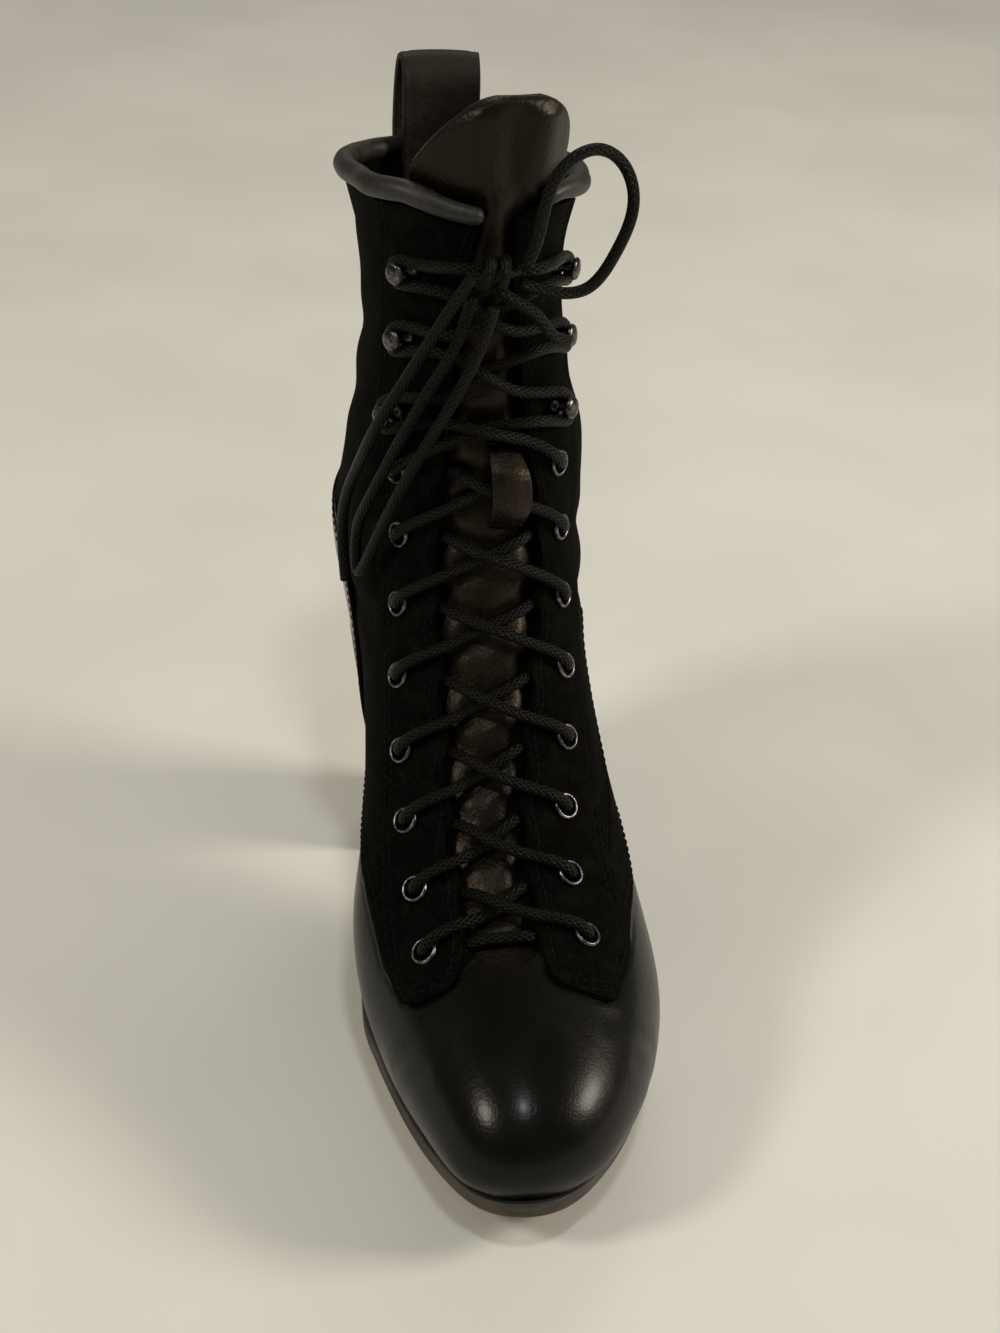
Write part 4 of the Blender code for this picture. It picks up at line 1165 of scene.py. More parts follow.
class Bench:
    """Makes meshes and hands finished pieces to the frame."""

    def __init__(self) -> None:
        """Start with no materials made."""
        self._materials: dict[str, bpy.types.Material] = {}

    def material(self, finish: Any) -> bpy.types.Material:
        """The material of a finish, made once.

        Args:
            finish: The finish.
        Returns:
            Its material.
        """
        if finish.name not in self._materials:
            self._materials[finish.name] = finish.material()
        return self._materials[finish.name]

    def grid(self, name: str, points: np.ndarray, marks: Optional[dict[str, np.ndarray]] = None,
             uv: Optional[np.ndarray] = None, flip: bool = False, merge: float = 0.02) -> bpy.types.Object:
        """Mesh over a grid of points.

        Args:
            name: The object's name.
            points: Rows and columns of points in metres.
            marks: Values of named attributes on the grid.
            uv: Map coordinates on the grid.
            flip: Turn the faces round.
            merge: Points closer than this many millimetres become one.
        Returns:
            The object.
        """
        n, m = points.shape[:2]
        number = np.arange(n * m).reshape(n, m)
        quads = np.stack([number[:-1, :-1], number[:-1, 1:], number[1:, 1:], number[1:, :-1]], -1)
        quads = quads.reshape(-1, 4)
        if flip:
            quads = quads[:, ::-1]
        mesh = bpy.data.meshes.new(name)
        mesh.from_pydata(points.reshape(-1, 3).tolist(), [], quads.tolist())
        for key, values in (marks or {}).items():
            layer = mesh.attributes.new(key, "FLOAT", "POINT")
            layer.data.foreach_set("value", np.ascontiguousarray(values, np.float32).ravel())
        if uv is not None:
            corner = np.empty(len(mesh.loops), np.int32)
            mesh.loops.foreach_get("vertex_index", corner)
            layer = mesh.uv_layers.new(name="map")
            layer.data.foreach_set("uv", uv.reshape(-1, 2)[corner].astype(np.float32).ravel())
        made = place(name, mesh)
        self.weld(made, merge)
        return made

    def weld(self, piece: bpy.types.Object, merge: float) -> None:
        """Merge near points of a piece and drop faces without area.

        Args:
            piece: The piece.
            merge: Distance under which points are merged.
        """
        bm = bmesh.new()
        bm.from_mesh(piece.data)
        bmesh.ops.remove_doubles(bm, verts=bm.verts, dist=merge * MM)
        bmesh.ops.dissolve_degenerate(bm, edges=bm.edges, dist=1e-7)
        bm.to_mesh(piece.data)
        bm.free()

    def face_out(self, piece: bpy.types.Object) -> None:
        """Turn the faces of a closed piece outwards.

        Args:
            piece: The closed piece.
        """
        bm = bmesh.new()
        bm.from_mesh(piece.data)
        bmesh.ops.recalc_face_normals(bm, faces=bm.faces)
        bm.to_mesh(piece.data)
        bm.free()

    def apply(self, piece: bpy.types.Object) -> None:
        """Turn a piece with modifiers into a plain mesh.

        Args:
            piece: The piece with modifiers.
        """
        mesh = evaluated(piece)
        piece.modifiers.clear()
        stale = piece.data
        piece.data = mesh
        mesh.name = piece.name
        bpy.data.meshes.remove(stale)

    def wall(self, piece: bpy.types.Object, thickness: float, bevel: float = 0.0, steps: int = 2,
             lining: bool = False) -> None:
        """Give an open surface its wall on the inner side, with rounded rims.

        Args:
            piece: The open surface.
            thickness: Thickness of the wall in millimetres.
            bevel: Radius of the rims in millimetres.
            steps: Steps of the rounding.
            lining: The inner wall takes the second material.
        """
        shell = piece.modifiers.new("wall", "SOLIDIFY")
        shell.thickness = thickness * MM
        shell.offset = -1.0
        shell.use_quality_normals = True
        if lining:
            shell.material_offset = 1
        if bevel:
            edge = piece.modifiers.new("rim", "BEVEL")
            edge.width = bevel * MM
            edge.segments = steps
            edge.limit_method = "ANGLE"
            edge.angle_limit = math.radians(RIM_ANGLE)
            edge.use_clamp_overlap = True
        self.apply(piece)

    def tube(self, name: str, route: np.ndarray, radius: Any, sides: int,
             cap: float = 0.8) -> bpy.types.Object:
        """Round tube along a route, closed by round ends, with a map of turns across and millimetres along.

        Args:
            name: The object's name.
            route: Points in metres.
            radius: Radius in millimetres, one for all or one for each point.
            sides: Steps around.
            cap: Length of the round ends as a share of the radius.
        Returns:
            The object.
        """
        radius = np.broadcast_to(np.asarray(radius, float), (len(route),)).copy()
        run = unit(np.gradient(route, axis=0))
        normal = np.cross(run[0], (0.0, 0.0, 1.0))
        if np.linalg.norm(normal) < 0.1:
            normal = np.cross(run[0], (1.0, 0.0, 0.0))
        frames = []
        for along in run:
            normal = normal - along * float(normal @ along)
            normal = normal / np.linalg.norm(normal)
            frames.append((normal, np.cross(along, normal)))
        first = [(-s, c) for s, c in ((cap, 0.0), (0.86 * cap, 0.5), (0.5 * cap, 0.84))]
        ends = [(0, shift, share) for shift, share in first]
        body = [(i, 0.0, 1.0) for i in range(len(route))]
        ends_far = [(len(route) - 1, -shift, share) for shift, share in first[::-1]]
        turn = np.linspace(0.0, 2.0 * math.pi, sides + 1)
        length = lengths(route) / MM
        rows = []
        uv = []
        for i, shift, share in ends + body + ends_far:
            across, above = frames[i]
            r = radius[i] * share * MM
            centre = route[i] + run[i] * shift * radius[i] * MM
            ring = np.cos(turn)[:, None] * across + np.sin(turn)[:, None] * above
            rows.append(centre + r * ring)
            run_at = length[i] + shift * radius[i]
            uv.append(np.stack([turn / (2.0 * math.pi), np.full(sides + 1, run_at)], 1))
        return self.grid(name, np.array(rows), uv=np.array(uv), flip=True, merge=0.004)

    def join(self, name: str, pieces: Sequence[bpy.types.Object]) -> bpy.types.Object:
        """Join pieces into one object.

        Args:
            name: The name of the whole.
            pieces: The pieces, which are used up.
        Returns:
            The whole.
        """
        bm = bmesh.new()
        for piece in pieces:
            bm.from_mesh(piece.data)
        mesh = bpy.data.meshes.new(name)
        bm.to_mesh(mesh)
        bm.free()
        for piece in pieces:
            discard(piece)
        return place(name, mesh)

    def hand_over(self, piece: bpy.types.Object, finishes: Sequence[Any], slot: Slot,
                  nodes: Sequence[str] = (), sharp: float = 42.0) -> bpy.types.Object:
        """Dress a finished piece and give it to the frame.

        Args:
            piece: The piece.
            finishes: Its finishes, in the order of its material slots.
            slot: The record's slot; not used.
            nodes: CAD nodes that it stands for.
            sharp: Edges over this angle stay sharp.
        Returns:
            The piece.
        """
        piece.data.materials.clear()
        for finish in finishes:
            piece.data.materials.append(self.material(finish))
        piece.data.shade_smooth()
        piece.data.set_sharp_from_angle(angle=math.radians(sharp))
        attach(piece, "root")
        if nodes:
            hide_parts(*nodes)
        piece.data.calc_loop_triangles()
        LOG.info("%s: %d triangles", piece.name, len(piece.data.loop_triangles))
        return piece


class NodeTree:
    """A Geometry Nodes tree in the making."""

    def __init__(self, name: str, inputs: Sequence[tuple[str, str, Any]]) -> None:
        """Start a tree.

        Args:
            name: The tree's name.
            inputs: Name, socket type and first value of each input after the geometry.
        """
        self.tree = bpy.data.node_groups.new(name, "GeometryNodeTree")
        self.tree.interface.new_socket("Geometry", in_out="INPUT", socket_type="NodeSocketGeometry")
        self.identifier: dict[str, str] = {}
        for label, kind, value in inputs:
            socket = self.tree.interface.new_socket(label, in_out="INPUT", socket_type=kind)
            if value is not None:
                socket.default_value = value
            self.identifier[label] = socket.identifier
        self.tree.interface.new_socket("Geometry", in_out="OUTPUT", socket_type="NodeSocketGeometry")
        self.start = self.tree.nodes.new("NodeGroupInput")
        self.end = self.tree.nodes.new("NodeGroupOutput")

    def node(self, kind: str, settings: Optional[dict[str, Any]] = None,
             inputs: Optional[dict[Any, Any]] = None) -> bpy.types.Node:
        """Add a node to the tree."""
        return add_node(self.tree, kind, settings, inputs)

    def close(self, instances: bpy.types.NodeSocket) -> None:
        """End the tree in real faces with the material of its input.

        Args:
            instances: The instances to make real.
        """
        real = self.node("GeometryNodeRealizeInstances", None, {0: instances})
        dressed = self.node("GeometryNodeSetMaterial", None, {
            "Geometry": real.outputs[0], "Material": self.start.outputs["Material"]})
        self.tree.links.new(dressed.outputs[0], self.end.inputs[0])

    def run(self, piece: bpy.types.Object, values: dict[str, Any]) -> bpy.types.Object:
        """Run the tree on a piece and keep the plain mesh.

        Args:
            piece: A mesh or curve object, which is used up.
            values: Values of the named inputs.
        Returns:
            The plain piece.
        """
        modifier = piece.modifiers.new(self.tree.name, "NODES")
        modifier.node_group = self.tree
        for label, value in values.items():
            modifier[self.identifier[label]] = value
        mesh = evaluated(piece)
        name = piece.name
        discard(piece)
        mesh.name = name
        return place(name, mesh)


@dataclass
class Stitching:
    """All sewn rows, laid as single stitches along paths on the surfaces."""

    pitch: float = 2.6
    length: float = 2.05
    thread: float = 0.3
    rows: list[np.ndarray] = field(default_factory=list)

    def sew(self, path: np.ndarray) -> None:
        """Add a row along a path in metres."""
        self.rows.append(np.asarray(path, float))

    def tree(self) -> NodeTree:
        """Tree that sets one small stitch at each step of the rows.

        Returns:
            The tree.
        """
        made = NodeTree("stitch_rows", (
            ("Pitch", "NodeSocketFloat", self.pitch * MM), ("Length", "NodeSocketFloat", self.length * MM),
            ("Thread", "NodeSocketFloat", self.thread * MM), ("Material", "NodeSocketMaterial", None)))
        spots = made.node("GeometryNodeCurveToPoints", {"mode": "LENGTH"}, {
            "Curve": made.start.outputs["Geometry"], "Length": made.start.outputs["Pitch"]})
        bead = made.node("GeometryNodeMeshUVSphere", None, {"Segments": 6, "Rings": 5, "Radius": 0.5})
        size = made.node("ShaderNodeCombineXYZ", None, {
            "X": made.start.outputs["Length"], "Y": made.start.outputs["Thread"],
            "Z": made.start.outputs["Thread"]})
        wide = made.node("ShaderNodeVectorMath", {"operation": "MULTIPLY"}, {
            0: size.outputs[0], 1: (1.0, 2.0, 2.0)})
        turn = made.node("FunctionNodeAlignRotationToVector", {"axis": "X"}, {
            "Vector": spots.outputs["Tangent"]})
        laid = made.node("GeometryNodeInstanceOnPoints", None, {
            "Points": spots.outputs["Points"], "Instance": bead.outputs["Mesh"],
            "Rotation": turn.outputs[0], "Scale": wide.outputs[0]})
        made.close(laid.outputs[0])
        return made

    def build(self, bench: Bench) -> bpy.types.Object:
        """Make all stitches as one piece.

        Args:
            bench: The bench to work on.
        Returns:
            The stitches.
        """
        curve = bpy.data.curves.new("stitches", "CURVE")
        curve.dimensions = "3D"
        for row in self.rows:
            line = curve.splines.new("POLY")
            line.points.add(len(row) - 1)
            line.points.foreach_set("co", np.concatenate([row, np.ones((len(row), 1))], 1).ravel())
        made = self.tree().run(place("stitches", curve), {"Material": bench.material(Thread())})
        return bench.hand_over(made, [Thread()], Slot.LEATHER)


@dataclass
class Assembly:
    """A sub-assembly on the last, made on the bench and sewn with the shared stitching."""

    last: Last
    bench: Bench
    stitching: Stitching


@dataclass
class Lacing(Assembly):
    """Lace through eyelets and round hooks, its knot, loops and ends."""

    radius: float = 1.7
    first_row: float = 5.45
    row_pitch: float = 1.035
    first_hook: float = 13.63
    hook_pitch: float = 1.32
    eyelet_rows: int = 8
    hook_rows: int = 3
    on_stay: float = 2.0
    over_stay: float = 3.8
    at_hook: float = 4.6
    low_strand: float = -0.5
    high_strand: float = 3.6
    pitch: float = 1.1
    knot_deep: float = 3.0
    knot_high: float = 3.7

    def row(self, i: int) -> float:
        """Nominal section of a lace row.

        Args:
            i: Number of the row, from the lowest.
        Returns:
            The section.
        """
        if i < self.eyelet_rows:
            return self.first_row + self.row_pitch * i
        return self.first_hook + self.hook_pitch * (i - self.eyelet_rows)

    def away(self, t: float, side: int) -> float:
        """Distance of an eyelet or hook from the crest."""
        return float(self.last.eyelet[side](t))

    def gap(self, t: float, side: int) -> float:
        """Distance of one edge of the throat from the crest."""
        return float(self.last.half_gap(t, side))

    def middle(self, t: float) -> float:
        """Signed distance of the middle of the throat from the crest."""
        return 0.5 * (self.gap(t, 1) - self.gap(t, -1))

    def laid(self, marks: Marks, side: int) -> np.ndarray:
        """Points in table sizes for marks of section, distance and lift, begun on one side."""
        marks_of = np.array(marks, float)
        return self.last.skin(marks_of[:, 0], side * marks_of[:, 1], marks_of[:, 2])

    def out_of_eyelet(self, t: float, side: int) -> list[Triple]:
        """Marks of a strand that comes up through an eyelet and bends over the facing.

        Args:
            t: Section of the eyelet.
            side: Side of the boot.
        Returns:
            The marks in order.
        """
        d = self.away(t, side)
        return [(t - 0.01, d + 0.5, -0.6), (t, d, self.on_stay + 0.7),
                (t + 0.05, d - 2.6, self.over_stay + 0.6)]

    def cross(self, i: int, side: int) -> np.ndarray:
        """Strand from one eyelet over the tongue and under the far facing.

        Args:
            i: Number of the row that it leaves.
            side: Side that it leaves.
        Returns:
            Points along the strand.
        """
        low = self.row(i)
        high = self.row(i + 1)
        mid = self.high_strand if side > 0 else self.low_strand
        far = self.gap(high, -side)
        marks = self.out_of_eyelet(low, side) + [
            (low + 0.22, self.gap(low, side) + 0.6, self.over_stay + 0.1),
            (0.5 * (low + high) - 0.03, side * self.middle(low), mid),
            (high - 0.25, 3.0 - far, -0.2),
            (high - 0.16, -1.5 - far, -2.5),
            (high - 0.12, -6.0 - far, -3.4),
        ]
        return self.laid(marks, side)

    def bar(self) -> np.ndarray:
        """Straight bar between the two lowest eyelets, under the facings.

        Returns:
            Points along the bar.
        """
        t = self.row(0)
        near = -self.gap(t, -1)
        far = self.gap(t, 1)
        marks = [(t, near - 6.0, -3.4), (t, near - 1.0, -2.4), (t, near + 3.5, -0.2),
                 (t, 0.5 * (near + far), 0.0),
                 (t, far - 3.5, -0.2), (t, far + 1.0, -2.4), (t, far + 6.0, -3.4)]
        return self.laid(marks, 1)

    def to_knot(self, side: int) -> np.ndarray:
        """Strand from a top eyelet round its three hooks to the knot.

        Args:
            side: Side of the boot.
        Returns:
            Points along the strand.
        """
        t = self.row(self.eyelet_rows - 1)
        points = list(self.laid(self.out_of_eyelet(t, side), side))
        at = side
        for i in range(self.hook_rows):
            low = self.row(self.eyelet_rows - 1 + i)
            high = self.row(self.eyelet_rows + i)
            mid = 4.6 if at > 0 else 0.6
            marks = [(low + 0.3, self.gap(low, at) - 2.0, self.over_stay),
                     (0.5 * (low + high), at * self.middle(low), mid),
                     (high - 0.3, 2.0 - self.gap(high, -at), self.over_stay)]
            points += list(self.laid(marks, at))
            at = -at
            d = self.away(high, at)
            grip = self.radius + 1.5
            rise = grip / 13.0
            bend = ((-1.0, -2.2), (-0.72, 0.72 * grip), (0.0, grip), (0.72, 0.72 * grip), (1.0, -2.2))
            points += list(self.laid([(high + u * rise, d + out, self.at_hook) for u, out in bend], at))
        end = np.array(KNOT[0 if at < 0 else -1])
        points += [end + np.array([-0.4, at * 4.5, 0.4]), end + np.array([0.2, -at * 2.0, 0.0])]
        return np.array(points)

    def braid(self, name: str, route: np.ndarray, cap: float = 0.8) -> bpy.types.Object:
        """Tube of lace along a route in metres."""
        return self.bench.tube(name, route, self.radius, 14, cap)

    def routes(self) -> list[np.ndarray]:
        """Points of all strands that lie on the boot, in table sizes.

        Returns:
            One array of points for each strand.
        """
        strands = [self.bar()]
        for i in range(self.eyelet_rows - 1):
            strands += [self.cross(i, -1), self.cross(i, 1)]
        return strands + [self.to_knot(-1), self.to_knot(1)]

    def build_cords(self) -> None:
        """Make the loops and ends of the bow as free cords."""
        for name, points, far_end, lay in (
                ("lace_loop_right", LOOP_RIGHT, "knot", "loose"),
                ("lace_loop_hanging", LOOP_HANG, "knot", "hanging"),
                ("lace_end_left", END_LEFT, "bare", "hanging"),
                ("lace_end_right", END_RIGHT, "bare", "loose")):
            route = self.last.world(smooth_route(points, self.pitch))
            piece = self.braid(name + "_braid", route, 0.35)
            self.bench.hand_over(piece, [WaxedBraid()], Slot.LACE, [name])
            2.0 * self.radius * MM

    def build_knot(self) -> None:
        """Make the knot: two turns round the crossing strands and the tuck between them."""
        centre = np.array(KNOT[1]) + np.array([0.2, -0.2, 0.0])
        pieces = []
        turn = np.linspace(0.0, 2.0 * math.pi, 28)
        for number, (shift, tilt) in enumerate(((-2.9, 0.42), (1.5, 0.18))):
            ring = np.stack([
                centre[0] + self.knot_deep * np.cos(turn),
                centre[1] + shift + tilt * self.knot_deep * np.sin(turn),
                centre[2] + self.knot_high * np.sin(turn)], 1)
            pieces.append(self.braid("knot_turn_%d" % number, self.last.world(ring)))
        tuck = smooth_route((centre + (-1.6, -7.6, 0.6), centre + (1.2, -3.4, -1.4), centre + (2.4, 0.4, 0.2),
                             centre + (0.6, 5.0, 0.8)), self.pitch)
        pieces.append(self.braid("knot_tuck", self.last.world(tuck)))
        piece = self.bench.join("lace_knot_braid", pieces)
        self.bench.hand_over(piece, [WaxedBraid()], Slot.LACE, ["lace_knot"])

    def build_strands(self) -> None:
        """Make the strands that lie on the boot as one piece."""
        pieces = []
        for i, points in enumerate(self.routes()):
            route = self.last.world(smooth_route(points, self.pitch))
            pieces.append(self.braid("strand_%d" % i, route, 0.35))
        nodes = ["lace_cross_%d" % (i + 1) for i in range(self.eyelet_rows - 1)]
        nodes += ["lace_hook_cross_%d" % (i + 1) for i in range(self.hook_rows)]
        nodes += ["lace_bar", "lace_top_inner", "lace_top_outer"]
        self.bench.hand_over(self.bench.join("lace_strands", pieces), [WaxedBraid()], Slot.LACE, nodes)


@dataclass
class Upper(Assembly):
    """Vamp and quarters in one shell, with its panels, seams and creases."""

    wall: float = 2.0
    half_columns: int = 76
    panel_step: float = 0.6
    # suede panel on each side: section and distance of its corners
    outer_panel: Marks = (
        (5.6, 0.0), (4.95, 9.0), (4.62, 13.0), (4.48, 22.0), (4.44, 28.6), (4.86, 32.6), (5.17, 36.0),
        (6.17, 45.2), (6.82, 54.0),
        (7.42, 58.5), (8.2, 67.0), (8.8, 76.0), (9.4, 88.0), (9.8, 200.0), (20.5, 200.0), (20.5, 0.0))
    inner_panel: Marks = (
        (5.6, 0.0), (4.95, 17.0), (4.74, 24.0), (4.72, 30.0), (4.84, 35.6), (5.2, 39.2), (5.6, 42.4),
        (6.34, 44.0),
        (7.0, 47.0), (7.87, 56.5), (8.7, 69.0), (9.4, 84.0), (9.8, 200.0), (20.5, 200.0), (20.5, 0.0))
    side_seam: Marks = ((10.6, 56.0), (10.2, 54.5), (9.1, 52.0), (8.0, 45.0), (6.8, 37.0))
    # creases: section and distance of two ends on one side, depth and width in millimetres
    creases: Sequence[tuple[float, float, float, float, float, float]] = (
        (4.2, -26.0, 4.0, -48.0, 0.16, 3.0), (3.6, -32.0, 3.5, -50.0, 0.12, 2.6),
        (4.1, 26.0, 3.85, 48.0, 0.16, 3.0), (3.4, 38.0, 3.3, 56.0, 0.12, 2.6),
        (10.6, -50.0, 11.4, -84.0, 0.8, 4.5), (11.7, -46.0, 12.1, -78.0, 0.6, 4.0),
        (10.8, 48.0, 11.6, 82.0, 0.8, 4.5), (11.9, 46.0, 12.3, 80.0, 0.6, 4.0),
        (14.2, -42.0, 14.6, -84.0, 0.6, 5.0), (15.4, -40.0, 15.6, -80.0, 0.5, 4.5),
        (14.5, 42.0, 14.2, 84.0, 0.6, 5.0), (15.8, 40.0, 15.5, 78.0, 0.5, 4.5),
    )
    mm_per_section: float = 19.0
    ridge_share: float = 0.45
    ridge_away: float = 1.9
    seam_depth: float = 0.4
    slack: float = 0.35
    stitch_insets: tuple[float, float] = (2.2, 4.6)
    seam_insets: tuple[float, float] = (-1.9, 1.9)

    def rows(self) -> np.ndarray:
        """Sections of the grid's rows.

        Returns:
            The sections from toe to collar.
        """
        return np.concatenate([
            np.linspace(0.0, 1.0, 20)[:-1], np.linspace(1.0, 4.6, 44)[:-1], np.linspace(4.6, 5.45, 22)[:-1],
            np.linspace(5.45, 11.0, 62)[:-1], np.linspace(11.0, 12.4, 28)[:-1], np.linspace(12.4, 18.0, 62)])

    def panel_mark(self, t: np.ndarray, d: np.ndarray) -> np.ndarray:
        """Signed distance from the edge of the suede, positive inside it, in millimetres.

        Args:
            t: Nominal sections.
            d: Signed distances from the crest.
        Returns:
            The signed distances.
        """
        mark = np.zeros(t.shape)
        for side, outline in ((-1, self.inner_panel), (1, self.outer_panel)):
            corners = np.array(outline, float) * (self.mm_per_section, 1.0)
            spot = np.stack([t * self.mm_per_section, np.abs(d)], -1)
            edge = distance_to_line(spot, corners[:-2])
            inside = inside_outline(spot[..., 0], spot[..., 1], corners)
            here = (d < 0.0) if side < 0 else (d >= 0.0)
            mark = np.where(here, np.where(inside, edge, -edge), mark)
        return mark

    def relief(self, t: np.ndarray, d: np.ndarray, panel: np.ndarray) -> np.ndarray:
        """Low relief of the outside: panel edges, seams, creases and the slack of the shaft.

        Args:
            t: Nominal sections.
            d: Signed distances from the crest.
            panel: Signed distances from the edge of the suede.
        Returns:
            Heights of the relief.
        """
        high = self.panel_step * ease(panel / 1.3) - 0.35 * bell(panel + 0.5, 0.8)
        points = self.last.skin(t, d)
        for t0, d0, t1, d1, depth, width in self.creases:
            share = np.linspace(0.0, 1.0, 9)
            line = self.last.skin(t0 + (t1 - t0) * share, d0 + (d1 - d0) * share)
            away = distance_to_line(points, line)
            high = high - depth * bell(away, width)
            high = high + self.ridge_share * depth * bell(away - self.ridge_away * width, width)
        seam = self.seam_line()
        away = distance_to_line(points, seam)
        high = high - self.seam_depth * bell(away, 0.9)
        slack = ease((t - 9.5) / 2.0) * ease((np.abs(d) - 36.0) / 14.0)
        wave = np.sin(2.1 * t + 0.055 * d) + 0.6 * np.sin(3.7 * t - 0.09 * d + 1.0)
        return high + self.slack * slack * wave

    def seam_line(self) -> np.ndarray:
        """Points of the seam on the outer side."""
        marks = smooth_route(np.array(self.side_seam, float) * (self.mm_per_section, 1.0), 2.0)
        return self.last.skin(marks[:, 0] / self.mm_per_section, marks[:, 1])

    def build(self) -> None:
        """Make the shell with its lining."""
        rows = self.rows()
        share = np.linspace(0.0, 1.0, self.half_columns)
        t = np.repeat(rows[:, None], 2 * self.half_columns, 1)
        sides = []
        for side in (-1, 1):
            whole = self.last.girth(self.last.collar_section(rows, 200.0), side)
            gap = self.last.half_gap(rows, side)
            reach = gap[:, None] + (whole - gap)[:, None] * share
            sides.append(side * np.maximum(reach, 1e-6))
        pieces = []
        for side, d in ((-1, sides[0][:, ::-1]), (1, sides[1])):
            tt = t[:, :self.half_columns]
            panel = self.panel_mark(tt, d)
            points = self.last.skin(tt, d, self.relief(tt, d, panel))
            pieces.append(self.bench.grid("upper_%d" % side, self.last.world(points), {"panel": panel}))
        whole_piece = self.bench.join("upper_shell", pieces)
        self.bench.weld(whole_piece, 0.08)
        whole_piece.data.materials.append(self.bench.material(VampAndQuarters()))
        whole_piece.data.materials.append(self.bench.material(PebbledLeather()))
        self.bench.wall(whole_piece, self.wall, lining=True)
        self.bench.hand_over(whole_piece, [VampAndQuarters(), PebbledLeather()], Slot.UPPER, ["upper"])

    def sew(self) -> None:
        """Lay the stitch rows of the panels and of the side seam."""
        for side, outline in ((-1, self.inner_panel), (1, self.outer_panel)):
            corners = np.array(outline[4:-3], float) * (self.mm_per_section, 1.0)
            for inset in self.stitch_insets:
                line = smooth_route(corners, 2.0)
                run = unit(np.gradient(line, axis=0))
                line = line + inset * np.stack([run[:, 1], -run[:, 0]], 1)
                t = line[:, 0] / self.mm_per_section
                d = side * line[:, 1]
                lift = self.relief(t, d, self.panel_mark(t, d)) + 0.12
                self.stitching.sew(self.last.on_skin(t, d, lift))
        marks = smooth_route(np.array(self.side_seam, float) * (self.mm_per_section, 1.0), 2.0)
        for inset in self.seam_insets:
            shifted = marks[:, 1] + inset * np.linspace(1.0, 0.55, len(marks))
            t = marks[:, 0] / self.mm_per_section
            lift = self.relief(t, shifted, self.panel_mark(t, shifted)) + 0.12
            self.stitching.sew(self.last.on_skin(t, shifted, lift))


@dataclass
class Eyestays(Assembly):
    """Suede facings with the eyelet rows."""

    lacing: Lacing
    lift: float = 0.5
    thickness: float = 1.2
    columns: int = 26
    far_rows: tuple[float, float] = (2.3, 4.9)
    near_row: float = 2.4
    groove: float = 0.16
    groove_width: float = 0.8

    def edges(self, t: np.ndarray, side: int) -> tuple[np.ndarray, np.ndarray]:
        """Distances of the near and far edge from the crest."""
        near, far = [curve(t) for curve in by_side(EYESTAY[side]).values()]
        return np.maximum(near, self.last.half_gap(t, side) + 0.1), far

    def relief(self, t: np.ndarray, d: np.ndarray, side: int) -> np.ndarray:
        """Puckers round the eyelets, sunk stitch rows and slight waves.

        Args:
            t: Nominal sections.
            d: Signed distances from the crest.
            side: Side of the boot.
        Returns:
            Heights of the relief.
        """
        near, far = self.edges(t, side)
        high = sum(bell(far - d - inset, self.groove_width) for inset in self.far_rows)
        high = -self.groove * (high + bell(d - near - self.near_row, self.groove_width))
        for i in range(self.lacing.eyelet_rows + self.lacing.hook_rows):
            row = self.lacing.row(i)
            away = np.hypot((t - row) * 17.0, d - self.lacing.away(row, side))
            high = high - 0.35 * bell(away, 5.2) + 0.12 * bell(away - 8.0, 2.5)
        return high + 0.16 * np.sin(2.9 * t + 0.2 * d) * ease((d - near) / 4.0)

    def build(self) -> None:
        """Make both facings and lay their stitch rows."""
        share = np.linspace(0.0, 1.0, self.columns)
        top = self.lift + self.thickness
        for side, name in ((-1, "eyestay_inner"), (1, "eyestay_outer")):
            first = EYESTAY[side][0][0]
            rows = np.concatenate([np.linspace(first, 5.4, 34)[:-1], np.linspace(5.4, 17.92, 170)])
            near, far = self.edges(rows, side)
            d = near[:, None] + (far - near)[:, None] * share
            t = np.repeat(rows[:, None], self.columns, 1)
            points = self.last.skin(t, side * d, top + self.relief(t, d, side))
            piece = self.bench.grid(name + "_suede", self.last.world(points), flip=side < 0)
            self.bench.wall(piece, self.thickness, 0.4, 2)
            self.bench.hand_over(piece, [Suede()], Slot.SUEDE, [name])
            long_rows = np.linspace(first + 0.35, 17.75, 230)
            inner_edge, outer_edge = self.edges(long_rows, side)
            lines = [outer_edge - inset for inset in self.far_rows]
            for line in lines + [inner_edge + self.near_row]:
                height = top + self.relief(long_rows, line, side) + 0.1
                self.stitching.sew(self.last.on_skin(long_rows, side * line, height))
            for back in (0.12, 0.26):
                low = np.full(30, first + back)
                edge_in, edge_out = self.edges(low[:1], side)
                across = np.linspace(edge_in[0] + self.near_row, edge_out[0] - self.far_rows[0], 30)
                height = top + self.relief(low, across, side) + 0.1
                self.stitching.sew(self.last.on_skin(low, side * across, height))


